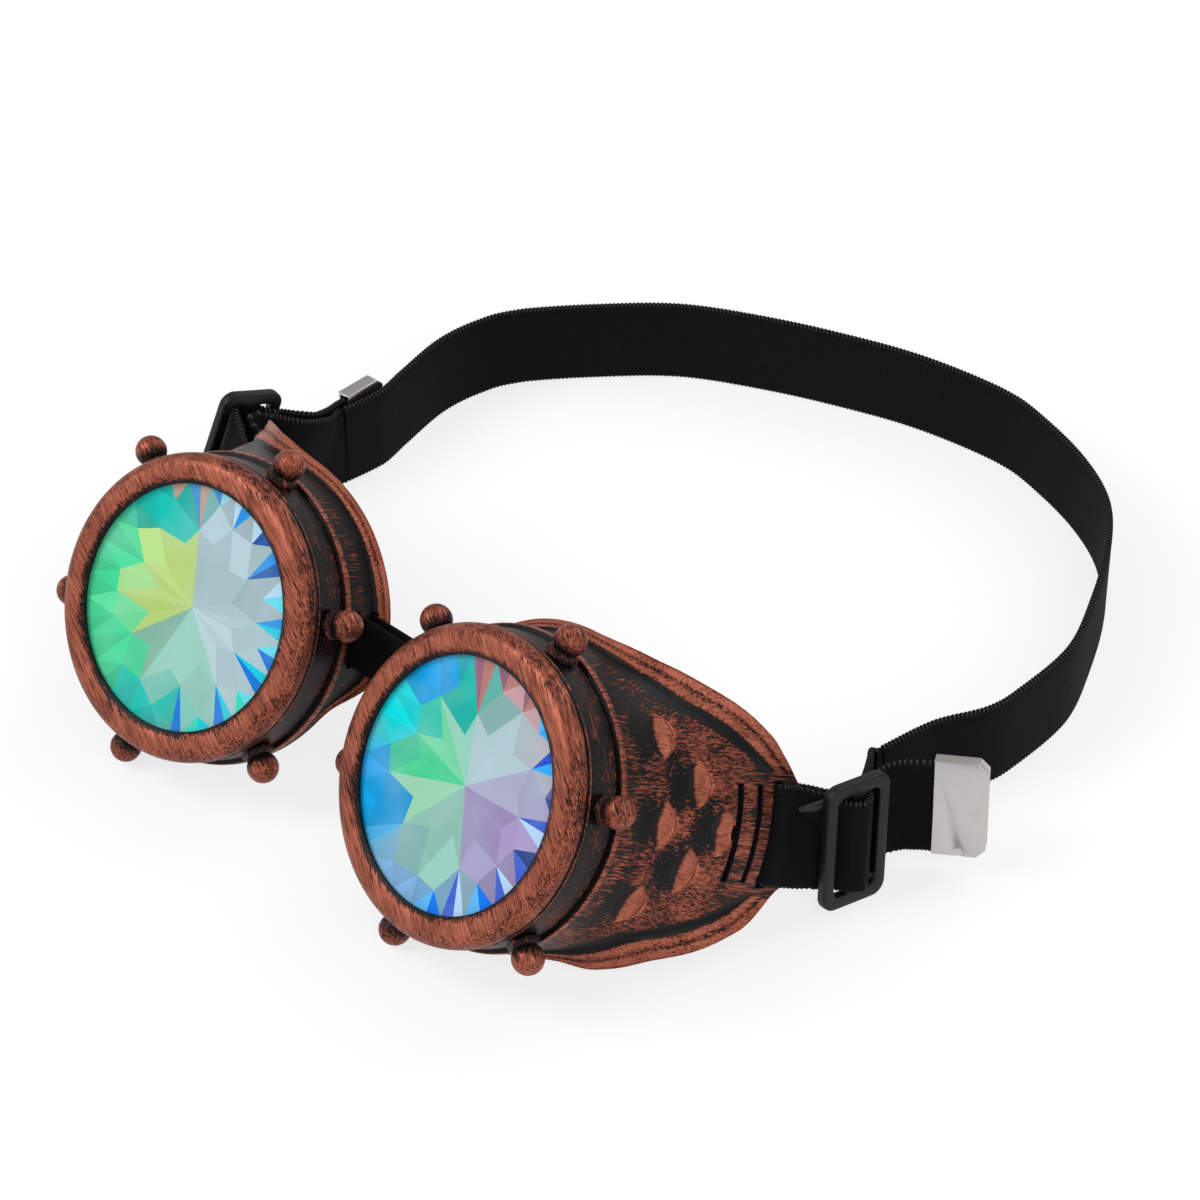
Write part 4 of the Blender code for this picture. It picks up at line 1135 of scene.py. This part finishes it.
def build_loop(side):
    """Free end, weave, turn round the shield's bar and the inner layer, in one strip."""
    across = width_of(slider_frames[side])
    keys = list(reversed(tail_keys(side)))
    weave = outer_weave()[1:] if steep_leg[side] else outer_weave()
    keys += [(in_slider(side, out, along, 0), across, flat) for out, along in reversed(weave)]
    keys += slot_turn(side)
    inner = -under_bar - layer_step
    end = lead_routes[side][0][1] - touch_gap
    keys += [(in_slider(side, inner, along, 0), across, flat) for along in (-slider_bar / 2, end)]
    return knitted_strip('strap_weave_' + side_names[side], keys, strap_width, strap_thickness)


def band_keys():
    """Places of the strap on the table, left to right, standing on its edge."""
    up = Vector((0, 0, 1))
    keys = []
    for across_share, back_share in band_route_shares:
        foot = Vector((middle_x + across_share * loop_half_width, lips_y + back_share * loop_depth, 0))
        keys.append((foot + up * (strap_width / 2), up, flat))
    return keys


def build_lead(side):
    """The short stretch from a slider to the long band."""
    route = smooth_route(band_keys(), ribbon_step)
    seam, inward = (route[0], route[1]) if side > 0 else (route[-1], route[-2])
    across = width_of(slider_frames[side])
    away = (seam[0] - inward[0]).normalized()
    last = seam[0] + away * touch_gap
    keys = [(in_slider(side, *place), across, flat) for place in lead_routes[side]]
    keys += [(last + away * (ribbon_step / 2), seam[1], flat), (last, seam[1], flat)]
    return knitted_strip('strap_lead_in_' + side_names[side], keys, strap_width, strap_thickness)


def nose_keys():
    """The nose band's closed way through both cups' slots."""
    across = width_of(level_frames[1])
    outside = tube_r + nose_leave
    inside = tube_r - cup_wall - nose_turn_inside
    front = nose_front_slot_back
    back = nose_front_slot_back + nose_slot_spacing
    half = ((outside, front), (inside, front), (inside - nose_turn_bulge, (front + back) / 2), (inside, back),
            (outside, back))
    keys = []
    for side, places in ((1, half), (-1, tuple(reversed(half)))):
        for radius, place in places:
            keys.append((level_frames[side] @ Vector((-side * radius, place, nose_band_rise)), across, flat))
    return keys + [keys[0]]


# Fittings

moulded_edge = 0.4 * MM
sheet_edge = 0.16 * MM
plate_crease = radians(40)
fold_angle = radians(25)
dimple_size = (1.25 * MM, 1.5 * MM, 0.42 * MM)
dimple_off = 0.95 * MM          # of its centre from the strap's face
dimple_in = 0.7 * MM            # and from the strap's lower edge


def build_slider(side):
    """Moulded three-bar slider with rounded corners and edges."""
    bm = bmesh.new()
    add_block(bm, (slider_thickness, slider_along, slider_across))
    corners = [e for e in bm.edges if abs(e.verts[0].co.x - e.verts[1].co.x) > slider_thickness / 2]
    bevel(bm, corners, slider_corner, 8)
    plate = put(bm, 'three_bar_slider_' + side_names[side])
    holes = bmesh.new()
    for along in (-1, 1):
        add_block(holes, (slider_thickness * 3, slider_slot, slider_across - 2 * slider_end_bar),
                  Matrix.Translation((0, along * (slider_bar + slider_slot) / 2, 0)))
    upright = [e for e in holes.edges if abs(e.verts[0].co.x - e.verts[1].co.x) > slider_thickness]
    bevel(holes, upright, slider_slot * 0.3, 5)
    cut(plate, holes)
    rounding = plate.modifiers.new('edges', 'BEVEL')
    rounding.width = moulded_edge
    rounding.segments = 3
    rounding.limit_method = 'ANGLE'
    rounding.angle_limit = plate_crease
    apply_steps(plate)
    plate.data.transform(slider_frames[side])
    smooth(plate.data, plate_crease)
    return plate


def build_clip(side):
    """The folded sheet on the strap's free end, its edges softened, with the punched dimple."""
    bm = bmesh.new()
    bm.from_mesh(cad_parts['tail_clip_' + side_names[side]].data)
    bmesh.ops.remove_doubles(bm, verts=bm.verts, dist=weld)
    bmesh.ops.dissolve_limit(bm, angle_limit=radians(2), verts=bm.verts, edges=bm.edges)
    sharp = [e for e in bm.edges if len(e.link_faces) == 2 and e.calc_face_angle() > fold_angle]
    bevel(bm, sharp, sheet_edge, 3, clamp_overlap=True)
    bm.verts.layers.float.new('dimple')
    clip = put(bm, 'end_clip_' + side_names[side])
    (before, upright, _), (tip, _, _) = tail_keys(side)[-2:]
    along = (tip - before).normalized()
    wide = (upright - along * upright.dot(along)).normalized()
    face = along.cross(wide)
    outward = face if face.dot(slider_frames[side].to_3x3() @ Vector((side, 0, 0))) > 0 else -face
    punch = bmesh.new()
    layer = punch.verts.layers.float.new('dimple')
    made = bmesh.ops.create_uvsphere(punch, u_segments=20, v_segments=12, radius=1)['verts']
    axes = Matrix((along, wide, outward)).transposed().to_4x4()
    spot = tip - along * (tail_in_clip - clip_length / 2) + outward * (strap_thickness / 2 + dimple_off)
    spot -= wide * (strap_width / 2 - dimple_in)
    bmesh.ops.scale(punch, vec=dimple_size, verts=made)
    # marks the dimple's faces for their painted shade
    for vert in made:
        vert[layer] = 1.0
    settle(punch, Matrix.Translation(spot) @ axes)
    cut(clip, punch)
    apply_steps(clip)
    smooth(clip.data, plate_crease)
    return clip


# Room

floor_half = 4.0
floor_drop = 0.2 * MM
floor_colour = '#f4f4f4'
floor_white = 0.75              # share of plain white that the eye gets from the floor
world_level = 0.5
white = (1, 1, 1, 1)


def build_room():
    """Pale floor that shows nearly white to the camera and keeps a soft shadow, and an even pale world."""
    bm = bmesh.new()
    bmesh.ops.create_grid(bm, x_segments=1, y_segments=1, size=floor_half)
    bmesh.ops.translate(bm, vec=(0, 0, -floor_drop), verts=bm.verts)
    floor = put(bm, 'floor')
    made, add, shader = new_material('pale_floor', 0.9)
    fill(shader, {'Base Color': linear(floor_colour)})
    glow = add('Emission', {'Color': white, 'Strength': 1.0})
    seen = add('LightPath', output='Is Camera Ray')
    for kind in ('Is Glossy Ray', 'Is Transmission Ray'):
        also = add('LightPath', output=kind)
        seen = add('Math', (seen, also), operation='MAXIMUM')
    share = add('Math', (seen, floor_white), operation='MULTIPLY')
    mix = add('MixShader', (share, shader.outputs[0], glow))
    fill(made.node_tree.nodes['Material Output'], {'Surface': mix})
    floor.data.materials.append(made)
    world = bpy.data.worlds.new('studio')
    world.use_nodes = True
    bpy.context.scene.world = world
    seen = add_node(world.node_tree, 'LightPath', output='Is Camera Ray')
    level = add_node(world.node_tree, 'Mix', {0: seen, 2: world_level, 3: 1.0})
    fill(world.node_tree.nodes['Background'], {'Color': white, 'Strength': level})


def add_lamp(name, place, width, power):
    """A square soft box, turned to the middle of the table."""
    lamp = bpy.data.lights.new(name, 'AREA')
    lamp.shape = 'SQUARE'
    lamp.size = width
    lamp.energy = power
    made = bpy.data.objects.new(name, lamp)
    made.location = place
    made.rotation_mode = 'QUATERNION'
    made.rotation_quaternion = (-Vector(place)).to_track_quat('-Z', 'Y')
    bpy.context.collection.objects.link(made)


# Camera, solved from the photograph
camera_turn = radians(44.17)
camera_tilt = radians(38.32)
camera_reach = 777.45 * MM
camera_focal = 4052.53          # in pixels of a frame 1200 wide
photo_width = 1200
aim_x = 311.73                  # where the point between the lips lies in the photograph
aim_y = 693.85
sensor = 36.0


def add_camera():
    """The camera at the photograph's place."""
    right = Vector((cos(camera_turn), sin(camera_turn), 0))
    level = cos(camera_tilt)
    view = Vector((-sin(camera_turn) * level, cos(camera_turn) * level, -sin(camera_tilt)))
    up = right.cross(view)
    scale = camera_reach / camera_focal
    place = Vector((middle_x, lips_y, lips_z)) - view * camera_reach
    place += -right * ((aim_x - photo_width / 2) * scale) + up * ((aim_y - photo_width / 2) * scale)
    lens = bpy.data.cameras.new('camera')
    lens.sensor_width = sensor
    lens.lens = camera_focal / photo_width * sensor
    lens.clip_end = 20
    made = bpy.data.objects.new('camera', lens)
    made.matrix_world = Matrix.Translation(place) @ Matrix((right, up, -view)).transposed().to_4x4()
    bpy.context.collection.objects.link(made)
    bpy.context.scene.camera = made


# Assembly

cup_stroke = (0, 0, 0)          # way of the brush on the cups, and askew on the rings
ring_stroke = (0, radians(-38), radians(90))


def main():
    """Make every piece and hang each that has a body on it."""
    webbing = knitted_elastic()
    plastic = moulded_plastic()
    nickel = nickel_plate()
    rubber = seat_rubber()
    crystal = coated_glass()
    for side in (1, -1):
        label = side_names[side]
        cup_finish = brushed_copper('brushed_copper_cup_' + label, cup_frames[side], cup_stroke)
        ring_finish = brushed_copper('brushed_copper_ring_' + label, level_frames[side], ring_stroke)
        cup_body = label + '_cup'
        bezel_body = label + '_bezel'
        slider_body = label + '_slider'
        dress(build_cup(side), cup_body, cup_finish, 'brushed_copper_plastic', 'cup_' + label)
        dress(build_bezel(side), bezel_body, ring_finish, 'brushed_copper_plastic', 'bezel_' + label)
        for i in range(stud_count):
            dress(build_stud(side, i), bezel_body, ring_finish, 'brushed_copper_plastic',
                  'stud_' + label + '_' + str(i + 1))
        dress(build_lens(side), label + '_carrier', crystal, 'cut_glass', 'lens_' + label)
        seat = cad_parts['lens_seat_' + label]
        seat.data.materials.clear()
        seat.data.materials.append(rubber)
        dress(build_slider(side), slider_body, plastic, 'black_plastic', 'slider_' + label)
        dress(build_clip(side), slider_body, nickel, 'nickel_steel', 'tail_clip_' + label)
        loop = dress(build_loop(side), None, webbing, 'black_elastic', 'strap_loop_' + label)
        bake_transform(loop)
        lead = dress(build_lead(side), None, webbing, 'black_elastic', 'strap_lead_' + label)
        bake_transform(lead)
    route = smooth_route(band_keys(), ribbon_step)
    band = knitted_strip('strap_round_head', route, strap_width, strap_thickness)
    dress(band, None, webbing, 'black_elastic', 'strap_band')
    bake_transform(band)
    nose = knitted_strip('nose_strip', nose_keys(), nose_band_width, nose_band_thickness, whipped=False,
                         closed=True)
    dress(nose, None, webbing, 'black_elastic', 'nose_band')
    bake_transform(nose)


main()
build_room()
add_lamp('key', (-0.55, -0.75, 0.95), 0.7, 9.0)
add_lamp('fill', (0.9, -0.35, 0.7), 0.8, 4.5)
add_lamp('back', (0.1, 0.9, 0.9), 0.8, 4.5)
add_camera()
bpy.context.scene.view_settings.view_transform = 'Standard'
